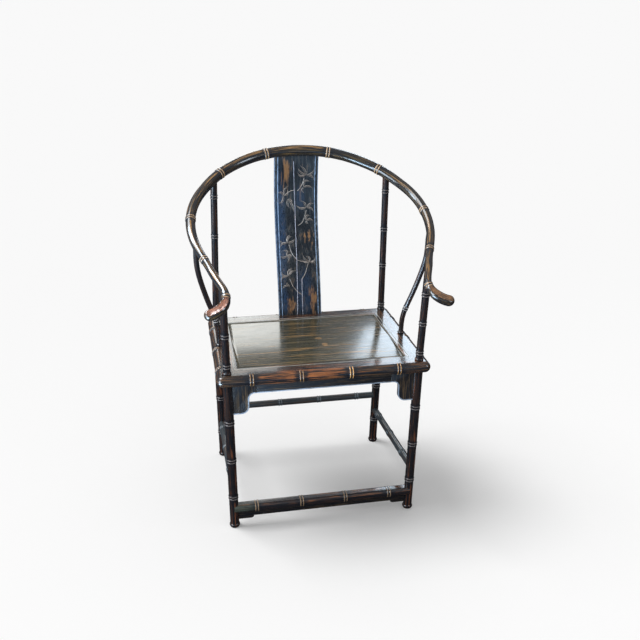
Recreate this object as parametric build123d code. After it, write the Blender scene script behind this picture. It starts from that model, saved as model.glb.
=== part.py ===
"""Horseshoe-back armchair in turned imitation bamboo.

The chair faces -Y, +X is to the right of someone who looks at its front, and the feet stand on z = 0.
Every piece is a separate solid, joined by tenons, tongues, scarfs and pins, and written to its own file.
Lengths are in millimetres.
"""
import os
from math import atan, cos, pi

from build123d import *

# ---------------------------------------------------------------- driving dimensions
# seat
SEAT_HEIGHT = 490.0            # floor to the top of the seat frame
SEAT_FRONT_WIDTH = 594.0
SEAT_REAR_WIDTH = 578.0
SEAT_FRONT_Y = -228.0
SEAT_DEPTH = 441.0
FRAME_WIDTH = 60.0             # each of the four frame members, seen from above
FRAME_THICKNESS = 32.0
PANEL_THICKNESS = 11.0
PANEL_SUNK = 1.5               # panel field below the top of the frame
PANEL_BEVEL = 8.0
PANEL_BEVEL_DROP = 1.2
PANEL_GAP = 0.6                # all round the panel's field
TONGUE_THICKNESS = 6.0
TONGUE_RISE = 1.2              # its underside above the panel's underside
TONGUE_DEPTH = 9.0
FRAME_INNER_BEVEL = 2.0
BEAD_LINE_INSET = 9.0          # incised line along the frame's inner edge
BEAD_LINE_DEPTH = 0.8
BATTEN_X = 95.0
BATTEN_WIDTH = 22.0
BATTEN_HEIGHT = 14.0
BATTEN_DOVETAIL = 4.0          # how far the batten is let into the panel
BATTEN_FLARE = 1.0             # how much wider the dovetail is on each side
BATTEN_TENON_WIDTH = 12.0
BATTEN_TENON_HEIGHT = 8.0
BATTEN_TENON_REACH = 12.0      # into the frame

# posts
LEG_RADIUS = 13.0
FRONT_POST_RADIUS = 10.2
REAR_POST_RADIUS = 9.9
POST_NECK_RADIUS = 12.0        # where a post passes through the seat frame
FRONT_POST_INSET = (29.5, 29.5)    # x, y from the seat's front corner to the post's middle
REAR_POST_INSET = (25.0, 18.0)
FRONT_FOOT_LEAN = (-6.5, -1.5)     # x, y from there to the middle of the foot
REAR_FOOT_LEAN = (-6.5, 4.0)
POST_TENON_RADIUS = 5.5
POST_TENON_REACH = 4.0         # past the axis of the crest rail
FRONT_LEG_NODES = (100.0, 221.5, 342.0)    # heights above the floor
REAR_LEG_NODES = (87.5, 214.0, 340.0)
FRONT_POST_NODES = (23.5, 111.0, 196.5)    # heights above the seat's top
REAR_POST_NODES = (18.0, 151.5, 268.5, 387.5)
FOOT_BAND = (6.0, 10.0, 2.2)   # height of its middle, width, how far it stands proud
SEAT_COLLAR = (3.0, 6.0, 2.1)  # the same, above the seat's top

# bamboo nodes: a pair of thin raised rings
RIDGE_SPACING = 8.0
RIDGE_WIDTH = 4.4
RIDGE_HEIGHT = 1.3
NODE_SWELL = 0.3

# crest rail: points of the half on the +X side, from the middle of the back to the hand,
# each with its height above the seat's top
RAIL_POINTS = (
    (0.0, 264.0, 497.0),
    (66.0, 260.0, 494.0),
    (129.0, 247.0, 484.5),
    (188.0, 224.0, 468.0),
    (240.0, 190.0, 447.0),
    (282.0, 146.0, 421.5),
    (314.0, 95.0, 395.0),
    (331.0, 41.0, 366.5),
    (333.0, -16.0, 337.0),
    (321.0, -73.0, 308.5),
    (300.5, -128.0, 281.5),
    (281.0, -185.0, 257.0),
    (266.0, -240.0, 234.5),
    (274.0, -265.0, 221.0),
    (294.0, -276.5, 209.0),
    (310.0, -278.5, 203.5),
)
RAIL_RADII = (                 # distance along the rail from its middle, radius there
    (0.0, 15.9),
    (262.0, 14.6),
    (457.0, 13.4),
    (522.0, 12.7),
    (586.0, 11.5),
    (651.0, 10.5),
    (776.0, 10.3),
    (818.0, 14.4),
    (860.0, 15.0),
)
RAIL_NODES = (95.0, 257.0, 468.0, 629.0, 779.0)
RAIL_STATION_STEP = 32.0
HAND_FROM = 740.0              # the rail bends more tightly from here on
HAND_STATION_STEP = 11.0
SCARF_AT = (178.0, 351.0)      # middle of each scarf joint, along the rail from its middle
SCARF_LENGTH = 54.0
SCARF_PIN_SIZE = 7.0
SCARF_PIN_TAPER = 1.2
SCARF_PIN_SUNK = 0.6
SCARF_TRIM = 6.0               # spare length of a rail section past its joint, cut off
REAR_POST_AT = 285.0
BRACE_AT = 552.0
FRONT_POST_AT = 742.0

# back splat
SPLAT_WIDTH = 134.0
SPLAT_THICKNESS = 9.0
SPLAT_INSET = 22.0             # from the frame's rear edge to the middle of the splat's foot
SPLAT_LOWER_CURVE = (          # y behind the splat's foot and height above the seat's top
    (0.0, -10.0),
    (24.0, 105.0),
    (51.0, 196.0),
)
SPLAT_UPPER_CURVE = (          # y behind the rail's middle and height below it
    (-5.0, 237.0),
    (9.0, 147.0),
    (5.5, 57.0),
)
SPLAT_BEAD_INSET = 8.0
SPLAT_BEAD_WIDTH = 4.0
SPLAT_BEAD_HEIGHT = 1.2
SPLAT_TONGUE_THICKNESS = 5.0
SPLAT_TONGUE_SHOULDER = 12.0
SPLAT_TONGUE_DEPTH = 14.0
SPLAT_SAMPLES = 12

# side braces
BRACE_RADIUS = 7.4
BRACE_INSET = 22.0             # from the seat's side edge to the middle of the brace's foot
BRACE_FOOT_Y = -6.0
BRACE_CURVE = (                # its axis, measured from the middle of its foot
    (0.0, 0.0, 0.0),
    (3.5, -6.0, 64.0),
    (21.0, -15.0, 122.0),
    (39.5, -22.5, 182.0),
    (53.0, -29.5, 243.0),
)
BRACE_NODE_AT = 84.0
BRACE_TENON_RADIUS = 4.6
BRACE_TENON_DEPTH = 16.0
BRACE_STATIONS = 9
BRACE_TOP_DIRECTION = (0.12, -0.15, 1.0)

# aprons and spandrels under the seat
APRON_HEIGHT = 29.0
APRON_THICKNESS = 11.0
SPANDREL_WIDTH = 44.0          # seen between the leg and its inner edge
SPANDREL_DROP = 61.0           # below the apron's lower edge
SPANDREL_CORNER = 22.0
APRON_CORNER = 16.0
APRON_BEAD_WIDTH = 3.2
APRON_BEAD_HEIGHT = 1.2
APRON_HOUSING = 5.0            # how far the boards' ends are let into the legs
SEAM_TONGUE = 5.0
SEAM_TONGUE_THICKNESS = 4.0

# stretchers
FOOT_RAIL_Z = 61.0
FOOT_RAIL_WIDTH = 32.0
FOOT_RAIL_HEIGHT = 23.0
FOOT_RAIL_CORNER = 9.0
FOOT_TENON_WIDTH = 14.0
FOOT_TENON_HEIGHT = 12.0
FOOT_RAIL_NODES = (65.0, 197.0)    # distance to either side of the middle
FOOT_RING_CHAMFER = 1.0
FOOT_APRON_HEIGHT = 18.0
FOOT_APRON_CLOUD = 8.0         # how far its ends reach lower than its middle
FOOT_APRON_CLOUD_LENGTH = 36.0
FOOT_APRON_THICKNESS = 10.0
SIDE_STRETCHER_RADIUS = 10.5
SIDE_STRETCHER_FRONT_Z = 145.0
SIDE_STRETCHER_REAR_Z = 121.0
SIDE_STRETCHER_NODES = (0.2, 0.54, 0.87)   # shares of the length
REAR_STRETCHER_RADIUS = 10.5
REAR_STRETCHER_Z = 178.0
REAR_STRETCHER_NODES = (65.0, 193.0)
STRETCHER_TENON_RADIUS = 6.0
STRETCHER_TENON_END = 2.0      # distance of the tenon's end from the leg's axis

# frame joinery
MITRE_TENON_WIDTH = 12.0
MITRE_TENON_THICKNESS = 10.0
MITRE_TENON_INSET = 4.0        # from the member's inner edge
MITRE_TENON_REACH = 28.0
MITRE_TENON_BELOW_PANEL = 6.0
PEG_RADIUS = 2.5
PEG_LENGTH = 16.0
PEG_FROM_CORNER = 18.0         # from the frame's inner corner
MITRE_TENON_ROOT = 10.0        # the part of the tenon inside its own member
FRONT_EDGE_NODES = (69.0, 204.0)
REAR_EDGE_NODES = (69.0, 204.0)
SIDE_EDGE_NODES = (-155.0, -25.0, 125.0)

CLEARANCE = 0.1                # around tenons, tongues and pins

# ---------------------------------------------------------------- worked-out levels
SEAT_BOTTOM = SEAT_HEIGHT - FRAME_THICKNESS
SEAT_REAR_Y = SEAT_FRONT_Y + SEAT_DEPTH
PANEL_TOP = SEAT_HEIGHT - PANEL_SUNK
PANEL_BOTTOM = PANEL_TOP - PANEL_THICKNESS
TONGUE_BOTTOM = PANEL_BOTTOM + TONGUE_RISE
EDGE_RADIUS = FRAME_THICKNESS / 2
FAR = 2000.0                   # larger than the chair
UP = Vector(0, 0, 1)


# ---------------------------------------------------------------- helpers
def slab(z_low, z_high):
    """A block as wide as needed that keeps what lies between two heights."""
    return Pos(0, 0, (z_low + z_high) / 2) * Box(FAR, FAR, z_high - z_low)


def stick(start, end, radius, ridges):
    """A turned stick from start to end with raised rings (distance from start, width, height)."""
    length = (Vector(*end) - Vector(*start)).length
    outline = []
    reached = 0.0
    for middle, width, height in sorted(ridges):
        lower = middle - width / 2
        upper = middle + width / 2
        outline.append(Line((radius, reached), (radius, lower)))
        outline.append(ThreePointArc((radius, lower), (radius + height, middle), (radius, upper)))
        reached = upper
    outline.append(Line((radius, reached), (radius, length)))
    outline.append(Polyline((radius, length), (0, length), (0, 0), (radius, 0)))
    profile = make_face(Plane.XZ * Curve(outline))
    turned = revolve(profile, Axis.Z)
    return Plane(origin=start, z_dir=Vector(*end) - Vector(*start)) * turned


def node_ridges(middles):
    """The two raised rings of each bamboo node."""
    half = RIDGE_SPACING / 2
    return [(middle + side * half, RIDGE_WIDTH, RIDGE_HEIGHT) for middle in middles for side in (-1, 1)]


def rod(start, direction, length, radius):
    """A plain round rod, used for tenons and their holes."""
    return Plane(origin=start, z_dir=direction) * Pos(0, 0, length / 2) * Cylinder(radius, length)


def turned_node(plane, radius):
    """A short length of stick with the two rings of a node on it, a little thicker than the stick."""
    half = (RIDGE_SPACING + RIDGE_WIDTH) / 2
    core = radius + NODE_SWELL
    inner = (RIDGE_SPACING - RIDGE_WIDTH) / 2
    outline = Curve([
        Line((core, -inner), (core, inner)),
        ThreePointArc((core, inner), (radius + RIDGE_HEIGHT, RIDGE_SPACING / 2), (core, half)),
        Polyline((core, half), (0, half), (0, -half), (core, -half)),
        ThreePointArc((core, -half), (radius + RIDGE_HEIGHT, -RIDGE_SPACING / 2), (core, -inner)),
    ])
    return plane * revolve(make_face(Plane.XZ * outline), Axis.Z)


def with_node(body, plane, radius):
    """A curved stick in which a slice is exchanged for a turned node."""
    slice_length = RIDGE_SPACING + RIDGE_WIDTH
    return body - plane * Box(5 * radius, 5 * radius, slice_length) + turned_node(plane, radius)


def mirrored(shape):
    """The same piece on the other side of the chair."""
    return mirror(shape, Plane.YZ)


# ---------------------------------------------------------------- crest rail
rail_half = [Vector(x, y, SEAT_HEIGHT + above) for x, y, above in RAIL_POINTS]
rail_other_half = [Vector(-point.X, point.Y, point.Z) for point in reversed(rail_half[1:])]
rail_axis = Spline(*rail_other_half, *rail_half)
rail_half_length = rail_axis.length / 2


def rail_share(distance):
    """Where on the rail's axis (0 to 1) a distance from its middle lies, on the +X side."""
    return 0.5 + distance / rail_axis.length


def rail_point(distance):
    return rail_axis.position_at(rail_share(distance))


def rail_direction(distance):
    return rail_axis.tangent_at(rail_share(distance))


def rail_radius(distance):
    """Radius of the rail at a distance from its middle, straight between the given values."""
    away = abs(distance)
    for (near, near_radius), (far, far_radius) in zip(RAIL_RADII, RAIL_RADII[1:]):
        if away <= far:
            return near_radius + (far_radius - near_radius) * (away - near) / (far - near)
    return RAIL_RADII[-1][1]


def rail_plane(distance):
    """The cross-section plane of the rail: x level and outwards, y up, z along the rail."""
    direction = rail_direction(distance)
    return Plane(origin=rail_point(distance), x_dir=UP.cross(direction), z_dir=direction)


def rail_stations(start, end):
    """Distances of the cross-sections between two places on the rail, closer together in the hand."""
    stations = [start]
    while stations[-1] < end - 0.1:
        step = RAIL_STATION_STEP if stations[-1] < HAND_FROM else HAND_STATION_STEP
        left = end - stations[-1]
        stations.append(end if left < 1.5 * step else stations[-1] + step)
    return stations


def rail_length(start, end):
    """The round rail between two distances, with the rings of the nodes on it."""
    sections = [rail_plane(d) * Circle(rail_radius(d)) for d in rail_stations(start, end)]
    body = loft(sections)
    for node in RAIL_NODES:
        for place in (-node, node):
            if start < place < end:
                body = with_node(body, rail_plane(place), rail_radius(place))
    return body


def scarf_waste(distance, upper, ahead):
    """What one rail section loses at a scarf joint: its upper or lower half along the joint, and all
    that lies beyond it, ahead (towards the hand) or behind."""
    reach = 2 * rail_radius(distance)
    level = reach if upper else -reach
    side = 1 if ahead else -1
    half = Pos(0, level, side * SCARF_TRIM / 2) * Box(4 * reach, 2 * reach, SCARF_LENGTH + SCARF_TRIM)
    beyond = Pos(0, 0, side * (SCARF_LENGTH + SCARF_TRIM) / 2) * Box(4 * reach, 4 * reach, SCARF_TRIM)
    return rail_plane(distance) * (half + beyond)


def scarf_pin(distance, clearance=0.0):
    """The square pin across a scarf joint, thinner at its lower end."""
    half = rail_radius(distance) - SCARF_PIN_SUNK
    top = SCARF_PIN_SIZE + clearance
    base = top - SCARF_PIN_TAPER
    plane = rail_plane(distance)
    upper_face = plane * Pos(0, half, 0) * Rot(90, 0, 0) * Rectangle(top, top)
    lower_face = plane * Pos(0, -half, 0) * Rot(90, 0, 0) * Rectangle(base, base)
    return loft([lower_face, upper_face])


first_scarf, second_scarf = SCARF_AT
past_scarf = (SCARF_LENGTH + SCARF_TRIM) / 2
first_waste = scarf_waste(first_scarf, upper=True, ahead=True)
rail_center = rail_length(-first_scarf - past_scarf, first_scarf + past_scarf)
rail_center -= first_waste
rail_center -= mirrored(first_waste)
rail_shoulder = rail_length(first_scarf - past_scarf, second_scarf + past_scarf)
rail_shoulder -= scarf_waste(first_scarf, upper=False, ahead=False)
rail_shoulder -= scarf_waste(second_scarf, upper=True, ahead=True)
rail_arm = rail_length(second_scarf - past_scarf, rail_half_length)
hand_end = Pos(0, 0, FAR / 2) * Box(FAR, FAR, FAR) & Sphere(rail_radius(rail_half_length))
rail_arm += rail_plane(rail_half_length) * hand_end
rail_arm -= scarf_waste(second_scarf, upper=False, ahead=False)

first_hole = scarf_pin(first_scarf, CLEARANCE)
second_hole = scarf_pin(second_scarf, CLEARANCE)
rail_center -= first_hole
rail_center -= mirrored(first_hole)
rail_shoulder -= first_hole
rail_shoulder -= second_hole
rail_arm -= second_hole
pins = [scarf_pin(distance) for distance in SCARF_AT]


# ---------------------------------------------------------------- seat frame
side_slope = (SEAT_FRONT_WIDTH - SEAT_REAR_WIDTH) / 2 / SEAT_DEPTH

# corners as (side, front)
LEFT_FRONT = (-1, True)
RIGHT_FRONT = (1, True)
LEFT_REAR = (-1, False)
RIGHT_REAR = (1, False)


def seat_half_width(y, inset=0.0):
    """Half the width of the seat at a depth, inside the slanted side edges by the inset."""
    return SEAT_FRONT_WIDTH / 2 - (y - SEAT_FRONT_Y) * side_slope - inset / cos(atan(side_slope))


def seat_corner(side, front, inset=0.0):
    """A corner of the seat's outline, inset from its four edges, on one side (-1 or 1)."""
    y = SEAT_FRONT_Y + inset if front else SEAT_REAR_Y - inset
    return (side * seat_half_width(y, inset), y)


def seat_plate(inset, z_low, z_high):
    """A plate in the outline of the seat, inset from its edges."""
    around = (LEFT_FRONT, RIGHT_FRONT, RIGHT_REAR, LEFT_REAR)
    corners = [seat_corner(side, front, inset) for side, front in around]
    return Pos(0, 0, z_low) * extrude(make_face(Polyline(*corners, close=True)), z_high - z_low)


def member_profile():
    """Section of a frame member: x from its outer edge inwards, y up."""
    line_at = FRAME_WIDTH - BEAD_LINE_INSET
    groove_at = FRAME_WIDTH - TONGUE_DEPTH
    groove_top = TONGUE_BOTTOM + TONGUE_THICKNESS + CLEARANCE
    return make_face(Curve([
        Polyline(
            (EDGE_RADIUS, SEAT_HEIGHT),
            (line_at - BEAD_LINE_DEPTH, SEAT_HEIGHT),
            (line_at, SEAT_HEIGHT - BEAD_LINE_DEPTH),
            (line_at + BEAD_LINE_DEPTH, SEAT_HEIGHT),
            (FRAME_WIDTH - FRAME_INNER_BEVEL, SEAT_HEIGHT),
            (FRAME_WIDTH, SEAT_HEIGHT - FRAME_INNER_BEVEL),
            (FRAME_WIDTH, groove_top),
            (groove_at, groove_top),
            (groove_at, TONGUE_BOTTOM),
            (FRAME_WIDTH, TONGUE_BOTTOM),
            (FRAME_WIDTH, SEAT_BOTTOM),
            (EDGE_RADIUS, SEAT_BOTTOM),
        ),
        ThreePointArc((EDGE_RADIUS, SEAT_BOTTOM), (0, SEAT_HEIGHT - EDGE_RADIUS), (EDGE_RADIUS, SEAT_HEIGHT)),
    ]))


def edge_node(plane, distance):
    """Two half rings around the rounded outer edge of a frame member."""
    half = Pos(-EDGE_RADIUS, 0, 0) * Box(2 * EDGE_RADIUS, 4 * EDGE_RADIUS, 4 * RIDGE_SPACING)
    ring = Torus(EDGE_RADIUS + RIDGE_HEIGHT - RIDGE_WIDTH / 2, RIDGE_WIDTH / 2)
    pair = Pos(0, 0, -RIDGE_SPACING / 2) * ring + Pos(0, 0, RIDGE_SPACING / 2) * ring
    return plane * Pos(EDGE_RADIUS, SEAT_HEIGHT - EDGE_RADIUS, distance) * (pair & half)


def corner_wedge(corner):
    """The space outside the centre lines of both rounded edges at a corner (side, front) of the seat."""
    side, front = corner
    inner = Vector(*seat_corner(side, front, EDGE_RADIUS))
    over_end = Vector(0, -1 if front else 1) * FRAME_WIDTH
    over_side = Vector(side, side_slope).normalized() * FRAME_WIDTH
    outline = Polyline(inner, inner + over_end, inner + over_end + over_side, inner + over_side, close=True)
    return Pos(0, 0, SEAT_BOTTOM) * extrude(make_face(outline), FRAME_THICKNESS)


def rounded_corner(body, corner):
    """Turns the rounded edge of a frame member round a corner of the seat as part of a ball."""
    wedge = corner_wedge(corner)
    ball = Pos(*seat_corner(*corner, EDGE_RADIUS), SEAT_HEIGHT - EDGE_RADIUS) * Sphere(EDGE_RADIUS)
    return body - wedge + (ball & wedge)


def frame_member(start, end, node_distances):
    """A mitred member along one edge of the seat, from corner to corner (side, front)."""
    a, b = seat_corner(*start), seat_corner(*end)
    along = Vector(b[0] - a[0], b[1] - a[1], 0)
    plane = Plane(origin=(a[0], a[1], 0), x_dir=UP.cross(along), z_dir=along)
    body = plane * extrude(member_profile(), along.length)
    for distance in node_distances:
        body += edge_node(plane, distance)
    for corner in (start, end):
        body = rounded_corner(body, corner)
    mitre = [seat_corner(*start, -FRAME_WIDTH), seat_corner(*end, -FRAME_WIDTH),
             seat_corner(*end, FRAME_WIDTH + 1), seat_corner(*start, FRAME_WIDTH + 1)]
    prism = extrude(make_face(Polyline(*mitre, close=True)), FAR)
    return body & prism


def mitre_tenon(front, clearance=0.0):
    """The tenon of the front or rear member that runs into the right-hand side member."""
    x, y = seat_corner(1, front, FRAME_WIDTH)
    outwards = -1 if front else 1
    middle_y = y + outwards * (MITRE_TENON_INSET + MITRE_TENON_WIDTH / 2)
    top = TONGUE_BOTTOM - MITRE_TENON_BELOW_PANEL
    block = Box(MITRE_TENON_REACH + MITRE_TENON_ROOT, MITRE_TENON_WIDTH, MITRE_TENON_THICKNESS)
    if clearance:
        block = offset(block, clearance)
    middle_x = x + (MITRE_TENON_REACH - MITRE_TENON_ROOT) / 2
    return Pos(middle_x, middle_y, top - MITRE_TENON_THICKNESS / 2) * block


def corner_peg(front, clearance=0.0):
    """A round peg driven up through the side member and the tenon in it."""
    x, y = seat_corner(1, front, FRAME_WIDTH)
    outwards = -1 if front else 1
    place = (x + PEG_FROM_CORNER, y + outwards * (MITRE_TENON_INSET + MITRE_TENON_WIDTH / 2), SEAT_BOTTOM)
    return rod(place, UP, PEG_LENGTH, PEG_RADIUS + clearance)


front_member = frame_member(LEFT_FRONT, RIGHT_FRONT,
                            [SEAT_FRONT_WIDTH / 2 + side * x for x in FRONT_EDGE_NODES for side in (-1, 1)])
rear_member = frame_member(RIGHT_REAR, LEFT_REAR,
                           [SEAT_REAR_WIDTH / 2 + side * x for x in REAR_EDGE_NODES for side in (-1, 1)])
side_member = frame_member(RIGHT_FRONT, RIGHT_REAR, [y - SEAT_FRONT_Y for y in SIDE_EDGE_NODES])

front_member += mitre_tenon(front=True)
front_member += mirrored(mitre_tenon(front=True))
rear_member += mitre_tenon(front=False)
rear_member += mirrored(mitre_tenon(front=False))
pegs = []
for front in (True, False):
    side_member -= mitre_tenon(front, CLEARANCE)
    hole = corner_peg(front, CLEARANCE)
    side_member -= hole
    if front:
        front_member -= hole
        front_member -= mirrored(hole)
    else:
        rear_member -= hole
        rear_member -= mirrored(hole)
    pegs.append(corner_peg(front))


# ---------------------------------------------------------------- posts
def post_places(front):
    """Where the right-hand post crosses the underside of the seat, and where it stands on the floor."""
    x, y = seat_corner(1, front)
    inset = FRONT_POST_INSET if front else REAR_POST_INSET
    lean = FRONT_FOOT_LEAN if front else REAR_FOOT_LEAN
    inwards = 1 if front else -1
    at_seat = Vector(x - inset[0], y + inwards * inset[1], SEAT_BOTTOM)
    return at_seat, Vector(at_seat.X + lean[0], at_seat.Y + lean[1], 0)


def leg_point(front, z):
    """A point of a leg's axis, which runs straight from the foot to the underside of the seat."""
    at_seat, foot = post_places(front)
    return foot + (at_seat - foot) * (z / SEAT_BOTTOM)


def leaning_stick(low, high, radius, ridges, keep_low, keep_high):
    """A stick between two points, with both ends cut level; ridge heights are levels above the floor."""
    direction = (high - low).normalized()
    start = low - direction * radius
    raised = [(level - start.Z, width, height) for level, width, height in ridges]
    return stick(start, high + direction * radius, radius, raised) & slab(keep_low, keep_high)


def make_post(front, rail_at, post_radius, leg_nodes, post_nodes):
    """Leg, neck and upper post in one, up to the middle of the rail."""
    at_seat, foot = post_places(front)
    leg_rings = node_ridges(leg_nodes) + [FOOT_BAND]
    leg = leaning_stick(foot, at_seat, LEG_RADIUS, leg_rings, 0, SEAT_BOTTOM)
    neck = rod(at_seat, UP, FRAME_THICKNESS, POST_NECK_RADIUS)
    above_seat = node_ridges(post_nodes) + [SEAT_COLLAR]
    post_rings = [(SEAT_HEIGHT + middle, width, height) for middle, width, height in above_seat]
    rail_middle = rail_point(rail_at)
    upper = leaning_stick(at_seat + UP * FRAME_THICKNESS, rail_middle, post_radius, post_rings,
                          SEAT_HEIGHT, rail_middle.Z)
    return leg + neck + upper


def post_tenon(front, clearance=0.0):
    """The round tenon at the top of a post, into the rail."""
    at_seat, foot = post_places(front)
    rail_at = FRONT_POST_AT if front else REAR_POST_AT
    top = rail_point(rail_at)
    direction = (top - at_seat - UP * FRAME_THICKNESS).normalized()
    below = rail_radius(rail_at) + POST_TENON_RADIUS
    return rod(top - direction * below, direction, below + POST_TENON_REACH + clearance,
               POST_TENON_RADIUS + clearance)


front_post = make_post(True, FRONT_POST_AT, FRONT_POST_RADIUS, FRONT_LEG_NODES, FRONT_POST_NODES)
rear_post = make_post(False, REAR_POST_AT, REAR_POST_RADIUS, REAR_LEG_NODES, REAR_POST_NODES)


# ---------------------------------------------------------------- side braces
brace_foot = Vector(seat_half_width(BRACE_FOOT_Y, BRACE_INSET), BRACE_FOOT_Y, SEAT_HEIGHT)
brace_points = [brace_foot + Vector(*offset_from_foot) for offset_from_foot in BRACE_CURVE]
brace_axis = Spline(*brace_points, rail_point(BRACE_AT), tangents=(UP, BRACE_TOP_DIRECTION))


def brace_plane(share):
    """Cross-section plane of the brace at a share of its length."""
    return Plane(origin=brace_axis.position_at(share), x_dir=(0, -1, 0), z_dir=brace_axis.tangent_at(share))


def brace_tenons(clearance=0.0):
    """The round tenons at the foot and at the top of a brace."""
    foot = rod(brace_foot - UP * (BRACE_TENON_DEPTH + clearance), UP,
               BRACE_TENON_DEPTH + BRACE_RADIUS, BRACE_TENON_RADIUS + clearance)
    top_plane = brace_plane(1.0)
    below = rail_radius(BRACE_AT) + BRACE_RADIUS
    top = rod(top_plane.origin - top_plane.z_dir * below, top_plane.z_dir, below + clearance,
              BRACE_TENON_RADIUS + clearance)
    return foot, top


brace_shares = [step / BRACE_STATIONS for step in range(BRACE_STATIONS + 1)]
brace = loft([brace_plane(share) * Circle(BRACE_RADIUS) for share in brace_shares])
brace = with_node(brace, brace_plane(BRACE_NODE_AT / brace_axis.length), BRACE_RADIUS)
collar_middle, collar_width, collar_height = SEAT_COLLAR
collar_top = collar_middle + collar_width
brace &= slab(SEAT_HEIGHT + collar_top, FAR)
brace += stick(brace_foot, brace_foot + UP * collar_top, BRACE_RADIUS + NODE_SWELL,
               [(collar_middle + CLEARANCE, collar_width, collar_height)])
brace -= rail_arm
brace_foot_tenon, brace_top_tenon = brace_tenons()
brace += brace_foot_tenon
brace += brace_top_tenon


# ---------------------------------------------------------------- back splat
splat_foot_y = SEAT_REAR_Y - SPLAT_INSET
rail_top = rail_point(0)
splat_axis = Spline(
    *[(0, splat_foot_y + behind, SEAT_HEIGHT + above) for behind, above in SPLAT_LOWER_CURVE],
    *[(0, rail_top.Y + behind, rail_top.Z - below) for behind, below in SPLAT_UPPER_CURVE],
    tuple(rail_top))


def splat_board(front, back, width):
    """A curved board between two distances from the middle surface (negative is to the front)."""
    sides = []
    for distance in (front, back):
        points = []
        for step in range(SPLAT_SAMPLES + 1):
            share = step / SPLAT_SAMPLES
            across = splat_axis.tangent_at(share).cross(Vector(1, 0, 0))
            points.append(splat_axis.position_at(share) + across * distance)
        sides.append(Spline(*points))
    front_side, back_side = sides
    top_edge = Line(front_side @ 1, back_side @ 1)
    bottom_edge = Line(back_side @ 0, front_side @ 0)
    outline = Curve([front_side, top_edge, back_side, bottom_edge])
    return extrude(make_face(outline), width / 2, both=True)


def splat_tongues(clearance=0.0):
    """The thin tongues at the top and bottom edges of the splat."""
    width = SPLAT_WIDTH - 2 * SPLAT_TONGUE_SHOULDER + 2 * clearance
    half = SPLAT_TONGUE_THICKNESS / 2 + clearance
    rail_underside = rail_top.Z - rail_radius(0)
    top = splat_board(-half, half, width) & slab(rail_underside - SPLAT_THICKNESS,
                                                 rail_underside + SPLAT_TONGUE_DEPTH + clearance)
    depth = SPLAT_TONGUE_DEPTH + clearance
    bottom = Pos(0, splat_foot_y, SEAT_HEIGHT - depth / 2) * Box(width, 2 * half, depth)
    return top, bottom


splat = splat_board(-SPLAT_THICKNESS / 2, SPLAT_THICKNESS / 2, SPLAT_WIDTH)
for side in (-1, 1):
    bead_x = side * (SPLAT_WIDTH / 2 - SPLAT_BEAD_INSET - SPLAT_BEAD_WIDTH / 2)
    splat += Pos(bead_x, 0, 0) * splat_board(-SPLAT_THICKNESS / 2 - SPLAT_BEAD_HEIGHT, 0, SPLAT_BEAD_WIDTH)
splat &= slab(SEAT_HEIGHT, FAR)
splat -= rail_center
splat_top_tongue, splat_foot_tongue = splat_tongues()
splat += splat_top_tongue
splat += splat_foot_tongue


# ---------------------------------------------------------------- aprons and spandrels
def apron_outline(half_span):
    """Outline of an apron with its two spandrels, as one board that reaches into both legs."""
    end = half_span - LEG_RADIUS + APRON_HOUSING
    inner = half_span - LEG_RADIUS - SPANDREL_WIDTH
    bottom = -APRON_HEIGHT - SPANDREL_DROP
    diagonal = 1 - cos(pi / 4)
    half = [
        Polyline((0, 0), (end, 0), (end, bottom), (inner + SPANDREL_CORNER, bottom)),
        ThreePointArc((inner + SPANDREL_CORNER, bottom),
                      (inner + SPANDREL_CORNER * diagonal, bottom + SPANDREL_CORNER * diagonal),
                      (inner, bottom + SPANDREL_CORNER)),
        Line((inner, bottom + SPANDREL_CORNER), (inner, -APRON_HEIGHT - APRON_CORNER)),
        ThreePointArc((inner, -APRON_HEIGHT - APRON_CORNER),
                      (inner - APRON_CORNER * diagonal, -APRON_HEIGHT - APRON_CORNER * diagonal),
                      (inner - APRON_CORNER, -APRON_HEIGHT)),
        Line((inner - APRON_CORNER, -APRON_HEIGHT), (0, -APRON_HEIGHT)),
    ]
    right = make_face(Curve([*half, Line((0, -APRON_HEIGHT), (0, 0))]))
    return right + mirror(right, Plane.YZ)


def apron_set(plane, half_span):
    """Apron and two spandrels between two legs: x along, y up from the seat, z to the outside."""
    outline = apron_outline(half_span)
    face_z = APRON_THICKNESS / 2
    board = Pos(0, 0, -face_z) * extrude(outline, APRON_THICKNESS)
    seen_width = 2 * (half_span - LEG_RADIUS)
    seen_height = APRON_HEIGHT + SPANDREL_DROP
    seen = Pos(0, -seen_height / 2 - APRON_BEAD_WIDTH) * Rectangle(seen_width, seen_height)
    strip = (outline - offset(outline, -APRON_BEAD_WIDTH)) & seen
    board += Pos(0, 0, face_z) * extrude(strip, APRON_BEAD_HEIGHT)
    seam = half_span - LEG_RADIUS - SPANDREL_WIDTH - APRON_CORNER - SEAM_TONGUE
    tongue_height = APRON_HEIGHT / 2

    def seam_tongue(side, clearance=0.0):
        return Pos(side * (seam - SEAM_TONGUE / 2), -APRON_HEIGHT / 2, 0) * Box(
            SEAM_TONGUE + clearance, tongue_height + 2 * clearance, SEAM_TONGUE_THICKNESS + 2 * clearance)

    apron = board & Box(2 * seam, FAR, FAR)
    spandrels = []
    for side in (-1, 1):
        apron -= seam_tongue(side, CLEARANCE)
        past_seam = Pos(side * (seam + FAR / 2), 0, 0) * Box(FAR, FAR, FAR)
        spandrels.append((board & past_seam) + seam_tongue(side))
    return [plane * piece for piece in (apron, *spandrels)]


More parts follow.
